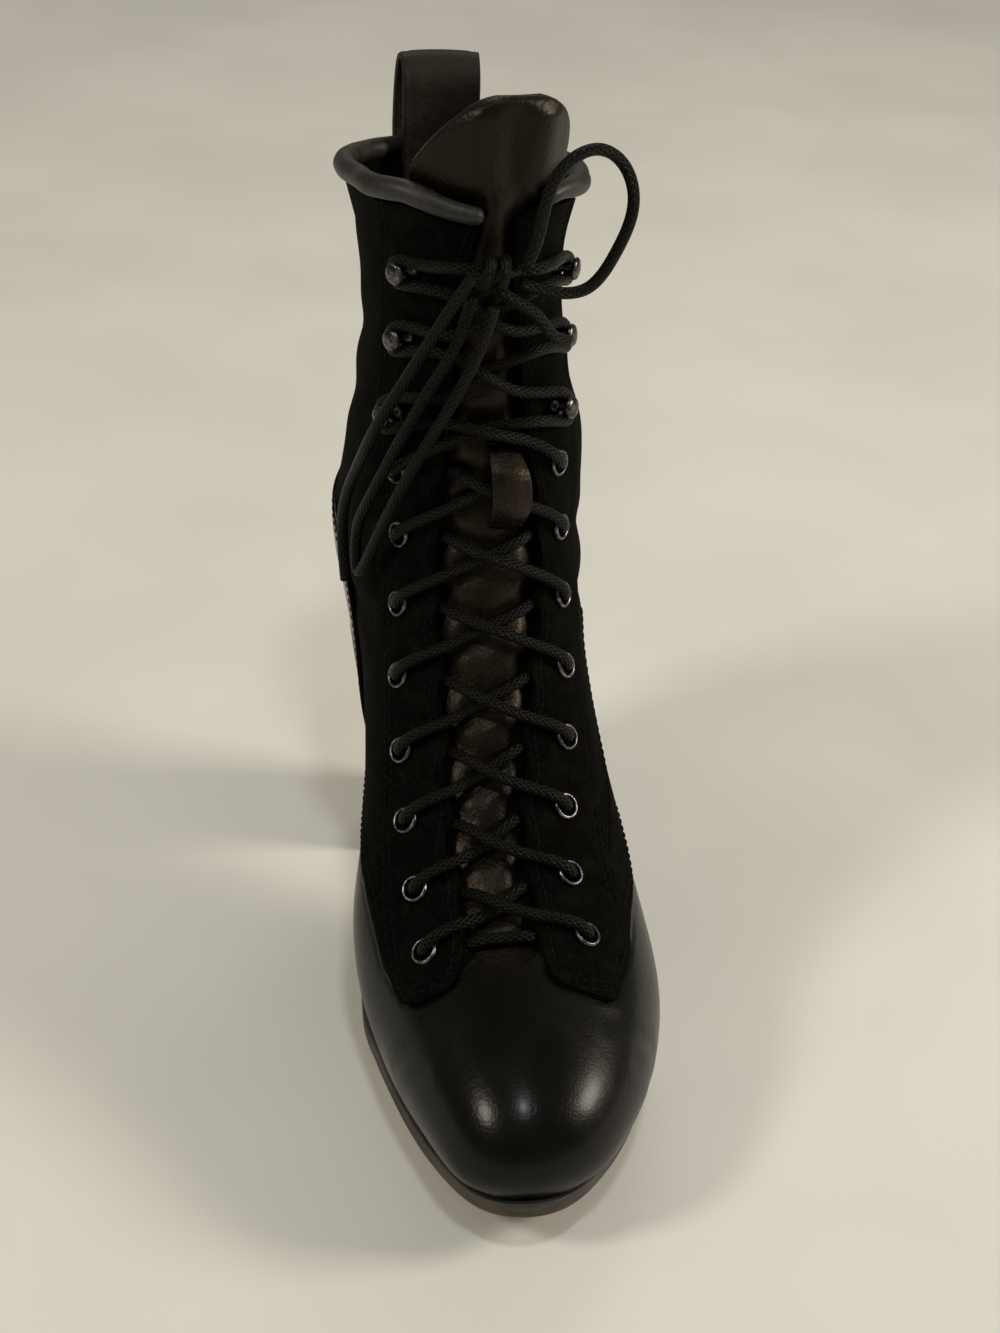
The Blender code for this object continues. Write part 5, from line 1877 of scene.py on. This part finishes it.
@dataclass
class Counter(Assembly):
    """Leather heel counter over the back of the upper."""

    lift: float = 0.85
    thickness: float = 1.2
    columns: int = 40
    grooves: tuple[float, float] = (2.2, 4.6)
    groove: float = 0.18
    stitch_insets: tuple[float, float] = (2.3, 4.8)

    def reach(self, t: float, side: int) -> Optional[tuple[float, float]]:
        """Distances from the crest where the counter begins and ends in one section.

        Args:
            t: The section.
            side: -1 for the inner side, 1 for the outer.
        Returns:
            The two distances, or nothing where the section misses the counter.
        """
        whole = float(self.last.girth(t, side))
        d = np.linspace(0.0, whole, 900)
        points = self.last.sample(t, side * d)[0]
        top = Steady(columns(COUNTER_SIDE, 0)[::-1], columns(COUNTER_SIDE, 1)[::-1])
        f = points[:, 0]
        z = points[:, 2]
        under_edge = (z < top(f)) & (f < COUNTER_SIDE[0][0])
        low = self.last.feather(f) + 4.4 - 2.0 * ease(f / 60.0)
        inside = under_edge & (z > low)
        if inside.sum() < 3:
            return None
        return float(d[inside][0]), float(d[inside][-1])

    def build(self) -> None:
        """Make the counter and the two stitch rows along its edge."""
        sections = np.concatenate([np.linspace(8.9, 11.2, 50), np.linspace(11.2, 12.4, 44)[1:],
                                   np.linspace(12.4, 14.7, 50)[1:]])
        share = np.linspace(0.0, 1.0, self.columns)
        top = self.lift + self.thickness
        pieces = []
        edge_rows: dict[int, list[list[np.ndarray]]] = {-1: [[], []], 1: [[], []]}
        for side in (-1, 1):
            rows = []
            for t in sections:
                found = self.reach(float(t), side)
                if found is None:
                    continue
                d = found[0] + (found[1] - found[0]) * share
                rise = np.full(len(d), top)
                for inset in self.grooves:
                    rise = rise - self.groove * bell(d - found[0] - inset, 0.8)
                points, normals = self.last.sample(np.full(len(d), t), side * d)
                rows.append(points + normals * rise[:, None])
                for k, inset in enumerate(self.stitch_insets):
                    if found[1] - found[0] > inset + 3.0:
                        spot, normal = self.last.sample(t, side * (found[0] + inset))
                        edge_rows[side][k].append(spot + normal * (top - 0.2))
            points = self.last.world(np.array(rows))
            pieces.append(self.bench.grid("counter_%d" % side, points, flip=side < 0))
        piece = self.bench.join("counter_leather", pieces)
        self.bench.weld(piece, 0.12)
        self.bench.wall(piece, self.thickness, 0.4, 2)
        self.bench.hand_over(piece, [SmoothLeather()], Slot.LEATHER, ["counter"])
        for k in (0, 1):
            line = edge_rows[-1][k] + edge_rows[1][k][::-1]
            self.stitching.sew(self.last.world(smooth_route(np.array(line), 1.5)))


@dataclass
class CollarAndTongue(Assembly):
    """Rolled binding, padded tongue, lace keeper and pull loop."""

    lacing: Lacing
    binding: float = 3.2
    binding_lift: float = 1.3
    clear: float = 0.45
    tongue: float = 4.0
    tongue_deep: float = 2.95
    puff: float = 2.8
    pressed_width: float = 5.5
    keeper: float = 1.5
    strap: float = 1.8
    strap_half: float = 12.0
    strap_curve: float = 66.0

    def build_binding(self) -> None:
        """Make the rolled binding along the collar."""
        last = self.last
        rim: list[np.ndarray] = []
        for side in (-1, 1):
            whole = float(last.girth(last.collar_section(last.collar, 200.0), side))
            d = np.linspace(float(last.half_gap(last.collar, side)) + (1.2 if side < 0 else 10.0), whole, 60)
            lift = self.binding_lift - (self.binding_lift + 0.6) * ease((d - 34.0) / 16.0)
            edge = last.skin(np.full(60, last.collar), side * d, lift)
            below = last.skin(np.full(60, last.collar - 0.2), side * d, lift)
            rise = unit(edge - below)
            line = edge + rise * (self.binding + self.clear)
            rim += list(line if side < 0 else line[::-1][1:])
        route = last.world(smooth_route(np.array(rim), 1.6))
        place = np.arange(len(route))
        swell = 1.0 + 0.010 * np.sin(place * 0.9) + 0.012 * np.sin(place * 0.37 + 1.0)
        swell = swell * (0.78 + 0.22 * ease(np.minimum(place, place[::-1]) / 12.0))
        piece = self.bench.tube("collar_roll", route, self.binding * swell, 22, 0.9)
        self.bench.hand_over(piece, [RolledLeather()], Slot.LEATHER, ["collar_binding"])

    def build_tongue(self) -> None:
        """Make the padded tongue, swelling between the strands that cross it."""
        rows = np.concatenate([np.linspace(4.25, 5.2, 16)[:-1], np.linspace(5.2, 18.4, 150)[:-1],
                               np.linspace(18.4, 19.4, 30)])
        edge = [curve(rows) for curve in by_side(TONGUE_EDGE).values()]
        share = np.linspace(-1.0, 1.0, 56)
        d = edge[0][:, None] + (edge[1] - edge[0])[:, None] * (0.5 + 0.5 * share)
        t = np.repeat(rows[:, None], len(share), 1)
        flat = self.last.under_skin(t, d, np.full(t.shape, -self.tongue_deep))
        pressed = np.full(t.shape, 1e9)
        for points in self.lacing.routes():
            pressed = np.minimum(pressed, distance_to_line(flat, smooth_route(points, 2.0)))
        row = np.minimum(t, 18.0)
        gap = np.where(d < 0.0, self.last.half_gap(row, -1), self.last.half_gap(row, 1))
        open_share = ease((gap + 2.0 - np.abs(d)) / 9.0)
        above = ease((t - 17.6) / 0.7)
        swell = self.puff * (1.0 - bell(pressed, self.pressed_width)) * open_share * ease((t - 5.2) / 0.8)
        ridges = 1.5 * bell(d + 3.0, 6.0) + 1.9 * bell(d - 17.0, 6.5) - 0.8 * bell(d - 7.0, 4.0)
        swell = swell * (1.0 - above) + above * (0.8 * (1.0 - share ** 4)[None, :] + ridges)
        rim = (edge[1] - edge[0])[:, None] * (0.5 - 0.5 * np.abs(share))
        for left in (rows[-1] - rows, rows - rows[0]):
            rim = np.minimum(rim, 20.0 * left[:, None])
        bulk = 0.5 * self.tongue
        round_off = bulk - np.sqrt(np.maximum(bulk ** 2 - (bulk - np.clip(rim, 0.0, bulk)) ** 2, 0.0))
        face = self.last.under_skin(t, d, -self.tongue_deep + swell * ease(rim / 5.0) - round_off)
        back = self.last.under_skin(t, d, -self.tongue_deep - self.tongue + round_off)
        piece = self.bench.join("tongue_padded", [
            self.bench.grid("tongue_face", self.last.world(face)),
            self.bench.grid("tongue_back", self.last.world(back), flip=True)])
        self.bench.weld(piece, 0.01)
        self.bench.hand_over(piece, [PebbledLeather()], Slot.PEBBLED, ["tongue"], 70.0)

    def build_keeper(self) -> None:
        """Make the leather keeper that holds the lace on the tongue."""
        rows = np.linspace(KEEPER_BOW[0][0], KEEPER_BOW[-1][0], 44)
        across = np.linspace(-0.4, 8.8, 20)
        bow = Steady(columns(KEEPER_BOW, 0), columns(KEEPER_BOW, 1))
        t = np.repeat(rows[:, None], len(across), 1)
        d = np.repeat(across[None, :], len(rows), 0)
        lift = bow(t) + self.keeper + 0.25 * np.cos((d - 4.5) * 0.5)
        piece = self.bench.grid("keeper_leather", self.last.world(self.last.under_skin(t, d, lift)))
        self.bench.wall(piece, self.keeper, 0.45, 3)
        self.bench.hand_over(piece, [PebbledLeather()], Slot.LEATHER, ["tongue_keeper"])
        for spot in (11.62, 12.82):
            line = np.linspace(0.2, 8.2, 12)
            level = float(bow(spot)) + self.keeper + 0.25
            row = self.last.under_skin(np.full(12, spot), line, np.full(12, level))
            self.stitching.sew(self.last.world(row))

    def build_pull_loop(self) -> None:
        """Make the pull loop over the back of the collar."""
        line = smooth_route(np.array(LOOP_PATH), 1.4)
        run = unit(np.gradient(line, axis=0))
        out = np.stack([-run[:, 1], run[:, 0]], 1)
        across = np.linspace(-self.strap_half, self.strap_half, 22)

        def surface(s: np.ndarray, lift: Any) -> np.ndarray:
            """Points of the strap's outer face at distances from its middle."""
            f = (line[:, 0] + out[:, 0] * self.strap)[:, None] + s * s / self.strap_curve
            z = (line[:, 1] + out[:, 1] * self.strap)[:, None] + 0.0 * s
            f = f + out[:, :1] * lift
            z = z + out[:, 1:] * lift
            return np.stack([f, s + self.last.swing(f, z), z], -1)

        s = np.repeat(across[None, :], len(line), 0)
        edge = self.strap_half - np.abs(s)
        lift = -0.2 * bell(edge - 2.4, 0.8) + 0.25 * ease(edge / 3.0)
        piece = self.bench.grid("pull_loop_strap", self.last.world(surface(s, lift)))
        self.bench.wall(piece, self.strap, 0.5, 2)
        leather = SmoothLeather("strap_leather", (0.0060, 0.0044, 0.0029), (0.0205, 0.0145, 0.0092),
                                gloss=0.5, grain=1.1, depth=0.13, polish=0.2, coat=0.0)
        self.bench.hand_over(piece, [leather], Slot.LEATHER, ["pull_loop"])
        for side in (-1, 1):
            at = np.full((len(line), 1), side * (self.strap_half - 2.4))
            self.stitching.sew(self.last.world(surface(at, 0.15))[:, 0])


@dataclass
class SoleUnit(Assembly):
    """Sole, insole, stacked heel and top lift."""

    welt: float = 2.2
    clear: float = 0.5
    gap: float = 0.3
    insole: float = 2.0
    wall: float = 2.0
    lift_height: float = 6.0
    stations: int = 150
    # edge of the sole from the top: how far it is set in, share of the thickness
    edge: Sequence[tuple[float, float]] = (
        (1.2, 0.0), (0.9, 0.02), (0.35, 0.06), (0.06, 0.12), (0.0, 0.2), (0.06, 0.34), (0.02, 0.46),
        (0.06, 0.6),
        (0.0, 0.69), (0.22, 0.735), (0.62, 0.77), (0.74, 0.80), (0.62, 0.84), (0.66, 0.92), (0.95, 0.98),
        (1.6, 1.0))

    def outline(self, margin: Any, height: Callable[[np.ndarray], np.ndarray], count: int) -> np.ndarray:
        """Closed ring of the feather plan drawn out by a margin.

        Args:
            margin: Distance outwards, one for all or a function of the forward place.
            height: Height over the floor for forward places.
            count: Stations from heel to toe.
        Returns:
            Inner points from heel to toe, then outer points from heel to toe.
        """
        turn = np.linspace(0.0, math.pi, count)
        first = PLAN[0][0]
        end = PLAN[-1][0]
        f = 0.5 * (first + end) - 0.5 * (end - first) * np.cos(turn)
        ring = []
        for side in (-1, 1):
            flat = np.stack([f, side * self.last.plan(f, side)], 1)
            run = unit(np.gradient(flat, axis=0))
            normal = np.stack([-run[:, 1], run[:, 0]], 1) * side
            normal[0] = (-1.0, 0.0)
            normal[-1] = (1.0, 0.0)
            away = margin(f)[:, None] if callable(margin) else margin
            moved = flat + normal * away
            z = height(moved[:, 0])
            ring.append(np.stack([moved[:, 0], moved[:, 1] + self.last.swing(moved[:, 0], z), z], 1))
        return np.array(ring)

    def closed(self, name: str, rings: Sequence[np.ndarray], shares: Sequence[float],
               fill: int = 9) -> bpy.types.Object:
        """Solid through rings, closed on top and below by ladders of faces.

        Args:
            name: The object's name.
            rings: Inner and outer points of each ring.
            shares: Share of the height of each ring.
            fill: Columns of the closing ladders.
        Returns:
            The solid.
        """
        rows = []
        for ring in rings:
            rows.append(np.concatenate([ring[0], ring[1][::-1], ring[0][:1]]))
        body = np.array(rows)
        marks = np.repeat(np.array(shares)[:, None], body.shape[1], 1)
        pieces = [self.bench.grid(name + "_side", self.last.world(body), {"share": marks})]
        for ring, mark in ((rings[0], -0.2), (rings[-1], 1.2)):
            across = np.linspace(0.0, 1.0, fill)[None, :, None]
            plate = ring[0][:, None] * (1.0 - across) + ring[1][:, None] * across
            value = np.full(plate.shape[:2], mark)
            value[:, 0] = value[:, -1] = min(max(mark, 0.0), 1.0)
            pieces.append(self.bench.grid(name + "_plate", self.last.world(plate), {"share": value}))
        piece = self.bench.join(name, pieces)
        self.bench.weld(piece, 0.03)
        self.bench.face_out(piece)
        return piece

    def sole_level(self, share: float) -> Callable[[np.ndarray], np.ndarray]:
        """Height of the sole at a share of its thickness.

        Args:
            share: Share of the thickness, from the underside.
        Returns:
            Function from places along the boot to heights.
        """
        def level(f: np.ndarray) -> np.ndarray:
            """Height over the floor."""
            top = self.last.feather(f) - self.clear
            return top + (self.last.under(f) - top) * share
        return level

    def build_sole(self) -> None:
        """Make the sole with its edge, groove and bottom line, and the insole."""
        rings = [self.outline(self.welt - inset, self.sole_level(share), self.stations)
                 for inset, share in self.edge]
        piece = self.closed("sole_leather", rings, columns(self.edge, 1))
        self.bench.hand_over(piece, [SoleEdge()], Slot.SOLE, ["sole"], 55.0)

        def margin(f: np.ndarray) -> np.ndarray:
            """The insole keeps clear of the wall, more so where the heel tucks under."""
            return -(self.wall + 0.9 + 4.6 * ease((110.0 - f) / 40.0))
        rings = []
        face = self.gap + self.insole
        for inset, rise in ((0.4, face), (0.0, face - 0.4), (0.0, self.gap)):
            rings.append(self.outline(lambda f: margin(f) - inset, lambda f: self.last.feather(f) + rise, 90))
        piece = self.closed("insole_board", rings, (0.0, 0.2, 1.0))
        leather = PebbledLeather("insole_leather", (0.022, 0.018, 0.015), (0.075, 0.062, 0.052), gloss=0.6)
        self.bench.hand_over(piece, [leather], Slot.INSOLE, ["insole"])

    def heel_ring(self, drop: float, back: float, front: float, half: float, low: float,
                  follow: bool) -> np.ndarray:
        """Ring of the heel, round behind and nearly straight at the breast.

        Args:
            drop: Share of the height from the seat down.
            back: Forward place of the back.
            front: Forward place of the breast.
            half: Half width.
            low: Height of the heel's foot.
            follow: The ring follows the sole above.
        Returns:
            Inner and outer points from the back to the breast.
        """
        centre = back + half
        a = np.linspace(0.0, 0.5 * math.pi, 30)
        f = np.concatenate([centre - half * np.cos(a), np.linspace(centre, front, 12)[1:]])
        s = np.concatenate([half * np.sin(a), half - 1.2 * (np.linspace(centre, front, 12)[1:] - centre)
                            / (front - centre)])
        z = np.full(len(f), low)
        if follow:
            seat = self.last.under(f) - self.gap
            z = seat + (low - seat) * drop
        return np.array([np.stack([f, -s, z], 1), np.stack([f, s, z], 1)])

    def build_heel(self) -> None:
        """Make the stacked heel and its rubber top lift."""
        base = self.lift_height + self.gap
        size = [Spline(columns(HEEL, 0), columns(HEEL, k)) for k in (1, 2, 3)]
        drops = np.concatenate([[0.0, 0.006], np.linspace(0.02, 0.985, 40), [0.995, 1.0]])
        rings = []
        for drop in drops:
            trim = 0.35 if drop in (drops[0], drops[-1]) else 0.0
            back, front, half = [float(line(drop)) for line in size]
            rings.append(self.heel_ring(drop, back + trim, front - trim, half - trim, base, True))
        piece = self.closed("heel_stack", rings, drops.tolist(), 7)
        self.bench.hand_over(piece, [StackedHeel()], Slot.HEEL, ["heel"], 50.0)
        foot = HEEL[-1]
        rings = []
        levels = ((0.4, self.lift_height), (0.0, self.lift_height - 0.35), (0.0, 3.0), (0.0, 0.5), (0.5, 0.0))
        for trim, z in levels:
            rings.append(self.heel_ring(1.0, foot[1] + trim, foot[2] - trim, foot[3] - trim, z, False))
        piece = self.closed("top_lift_rubber", rings, [1.0 - z / self.lift_height for trim, z in levels], 7)
        self.bench.hand_over(piece, [Rubber()], Slot.RUBBER, ["heel_top_lift"], 50.0)


@dataclass
class Hardware(Assembly):
    """Eyelets and speed hooks on the facings."""

    lacing: Lacing
    seat: float = 2.15
    steps: int = 24
    eyelet_profile: Sequence[tuple[float, float]] = (
        (3.0, -0.35), (2.95, 0.25), (3.08, 0.6), (3.3, 0.78), (3.58, 0.74), (3.84, 0.5), (4.0, 0.15),
        (4.02, -0.2))
    hook_profile: Sequence[tuple[float, float]] = (
        (3.4, -0.3), (3.42, 0.3), (3.1, 0.7), (2.0, 0.9), (1.4, 1.4), (1.35, 4.3), (1.9, 4.6), (2.9, 4.7),
        (3.2, 4.9), (3.25, 5.25), (2.95, 5.75), (2.1, 6.1), (1.0, 6.3), (0.0, 6.33))

    def turned(self, name: str, profile: Sequence[tuple[float, float]]) -> bpy.types.Object:
        """Shape turned about the up axis from a profile of radius and height.

        Args:
            name: Name of the shape.
            profile: Pairs of radius and height.
        Returns:
            The shape.
        """
        turn = np.linspace(0.0, 2.0 * math.pi, self.steps + 1)
        rows = [np.stack([r * np.cos(turn), r * np.sin(turn), np.full(len(turn), h)], 1) for r, h in profile]
        return self.bench.grid(name, np.array(rows) * MM, merge=0.004)

    def tree(self) -> NodeTree:
        """Tree that sets a master shape on points, facing along their own direction.

        Returns:
            The tree.
        """
        made = NodeTree("set_on_facing", (
            ("Master", "NodeSocketObject", None), ("Size", "NodeSocketFloat", 1.0),
            ("Material", "NodeSocketMaterial", None)))
        spots = made.node("GeometryNodeMeshToPoints", None, {0: made.start.outputs["Geometry"]})
        facing = made.node("GeometryNodeInputNamedAttribute", {"data_type": "FLOAT_VECTOR"}, {
            "Name": "facing"})
        turn = made.node("FunctionNodeAlignRotationToVector", {"axis": "Z"}, {"Vector": facing.outputs[0]})
        master = made.node("GeometryNodeObjectInfo", None, {"Object": made.start.outputs["Master"]})
        laid = made.node("GeometryNodeInstanceOnPoints", None, {
            "Points": spots.outputs[0], "Instance": master.outputs["Geometry"], "Rotation": turn.outputs[0],
            "Scale": made.start.outputs["Size"]})
        made.close(laid.outputs[0])
        return made

    def build(self) -> None:
        """Make the eyelets and the hooks, each as one piece."""
        eyelets = self.lacing.eyelet_rows
        for name, tag, profile, first, count in (
                ("eyelets_metal", "eyelet", self.eyelet_profile, 0, eyelets),
                ("hooks_metal", "hook", self.hook_profile, eyelets, self.lacing.hook_rows)):
            metal = Gunmetal("nickel", (0.07, 0.07, 0.066), (0.30, 0.29, 0.27)) if first == 0 else Gunmetal()
            points = []
            facing = []
            nodes = []
            for i in range(count):
                t = self.lacing.row(first + i)
                for side, label in ((-1, "inner"), (1, "outer")):
                    d = side * self.lacing.away(t, side)
                    spot, normal = self.last.sample(self.last.collar_section(t, d), d)
                    points.append(self.last.world(spot + normal * self.seat))
                    facing.append((normal[1], -normal[0], normal[2]))
                    nodes.append("%s_%s_%d" % (tag, label, i + 1))
            mesh = bpy.data.meshes.new(name)
            mesh.from_pydata([tuple(p) for p in points], [], [])
            layer = mesh.attributes.new("facing", "FLOAT_VECTOR", "POINT")
            layer.data.foreach_set("vector", np.array(facing, np.float32).ravel())
            piece = place(name, mesh)
            master = self.turned(tag + "_master", profile)
            master.data.shade_smooth()
            made = self.tree().run(piece, {
                "Master": master, "Size": 1.0, "Material": self.bench.material(metal)})
            discard(master)
            self.bench.hand_over(made, [metal], Slot.METAL, nodes, 60.0)


@dataclass
class Studio:
    """Floor, light and the camera at the photograph's angle."""

    place: Triple = (-107.99, -509.06, 435.5)
    ahead: Triple = (0.1727, 0.8479, -0.5013)
    roll: float = 3.68
    focal: float = 2090.0
    frame: tuple[float, float] = (1000.0, 1333.0)
    principal: tuple[float, float] = (491.0, 605.0)
    target: Triple = (0.0, 0.0, 0.12)
    sky: tuple[float, float, float, float] = (1.0, 0.95, 0.83, 1.0)
    sky_strength: float = 0.16
    cloth_dark: Triple = (0.79, 0.79, 0.75)
    cloth_light: Triple = (0.85, 0.85, 0.81)
    # lights: name, place, width and height, watts, colour
    lamps: Sequence[tuple[str, Triple, tuple[float, float], float,
                          Triple]] = (
        ("right", (1.39, -0.24, 0.84), (0.44, 0.36), 14.0, (1.0, 0.91, 0.76)),
        ("left", (-1.20, -0.37, 1.09), (0.3, 0.3), 8.5, (1.0, 0.91, 0.76)),
        ("front", (-0.02, -0.59, 1.57), (0.13, 0.13), 4.0, (0.97, 0.97, 0.97)),
        ("back", (0.25, 1.3, 1.5), (0.9, 0.5), 5.0, (1.0, 0.95, 0.86)))

    def build_camera(self) -> None:
        """Set the camera at the photograph's angle to the boot."""
        data = bpy.data.cameras.new("camera")
        data.sensor_fit = "VERTICAL"
        data.sensor_height = 36.0
        data.sensor_width = 36.0
        data.lens = 36.0 * self.focal / self.frame[1]
        data.shift_x = (0.5 * self.frame[0] - self.principal[0]) / self.frame[1]
        data.shift_y = (self.principal[1] - 0.5 * self.frame[1]) / self.frame[1]
        data.clip_start = 0.01
        data.clip_end = 50.0
        ahead = Vector(self.ahead).normalized()
        right = ahead.cross(Vector((0.0, 0.0, 1.0))).normalized()
        up = right.cross(ahead)
        turn = math.radians(self.roll)
        across = right * math.cos(turn) + up * math.sin(turn)
        above = up * math.cos(turn) - right * math.sin(turn)
        axes = Matrix((across, above, -ahead)).transposed().to_4x4()
        camera = place("camera", data)
        camera.matrix_world = Matrix.Translation(Vector(self.place) * MM) @ axes
        bpy.context.scene.camera = camera

    def lamp(self, name: str, stand: Triple, size: tuple[float, float], power: float,
             colour: Triple) -> None:
        """Add a soft rectangular light aimed at the boot.

        Args:
            name: The light's name.
            stand: Where it stands.
            size: Its width and height.
            power: Its power in watts.
            colour: Its colour.
        """
        data = bpy.data.lights.new(name, "AREA")
        data.shape = "RECTANGLE"
        data.size = size[0]
        data.size_y = size[1]
        data.energy = power
        data.color = colour
        aim = Vector(self.target) - Vector(stand)
        turn = aim.to_track_quat("-Z", "Y").to_matrix().to_4x4()
        place(name, data).matrix_world = Matrix.Translation(stand) @ turn

    def build_floor(self, bench: Bench) -> None:
        """Lay the pale floor.

        Args:
            bench: The bench that makes the mesh.
        """
        side = np.linspace(-4.0, 4.0, 9)
        x, y = np.meshgrid(side, side, indexing="xy")
        points = np.stack([x, y, np.full(x.shape, -0.0002)], -1)
        floor = bench.grid("floor", points)
        paint = Paint("pale_floor")
        cloth = paint.noise(1.2, 3.0, 0.6)
        tone = paint.noise(140.0, 2.0, 0.5)
        floor.data.materials.append(paint.finish(paint.surface(
            base_color=paint.colour(tone.step(0.3, 0.7), self.cloth_dark, self.cloth_light),
            roughness=0.85 + 0.1 * cloth, specular_ior_level=0.2, normal=paint.bump(cloth, 0.12, 0.3))))

    def build_light(self) -> None:
        """Set the soft studio light."""
        world = bpy.data.worlds.new("studio")
        world.use_nodes = True
        ground = world.node_tree.nodes["Background"]
        ground.inputs[0].default_value = self.sky
        ground.inputs[1].default_value = self.sky_strength
        bpy.context.scene.world = world
        bpy.context.scene.view_settings.view_transform = "Standard"
        for lamp in self.lamps:
            self.lamp(*lamp)


def main() -> None:
    """Build the boot's looks piece by piece."""
    logging.basicConfig(level=logging.INFO, format="%(name)s %(message)s")
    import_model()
    lift_low, lift_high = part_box("heel_top_lift")
    foot = HEEL[-1]
    origin = (0.5 * (lift_low[0] + lift_high[0]) / MM, lift_high[1] / MM + foot[1])
    studio = Studio()
    studio.build_camera()
    bench = Bench()
    stitching = Stitching()
    kit = (Last(origin), bench, stitching)
    lacing = Lacing(*kit)
    lacing.build_cords()
    lacing.build_knot()
    lacing.build_strands()
    upper = Upper(*kit)
    upper.build()
    upper.sew()
    Eyestays(*kit, lacing).build()
    Counter(*kit).build()
    top = CollarAndTongue(*kit, lacing)
    top.build_binding()
    top.build_tongue()
    top.build_keeper()
    top.build_pull_loop()
    unit_below = SoleUnit(*kit)
    unit_below.build_sole()
    unit_below.build_heel()
    Hardware(*kit, lacing).build()
    stitching.build(bench)
    studio.build_floor(bench)
    studio.build_light()


if __name__ == "__main__":
    main()
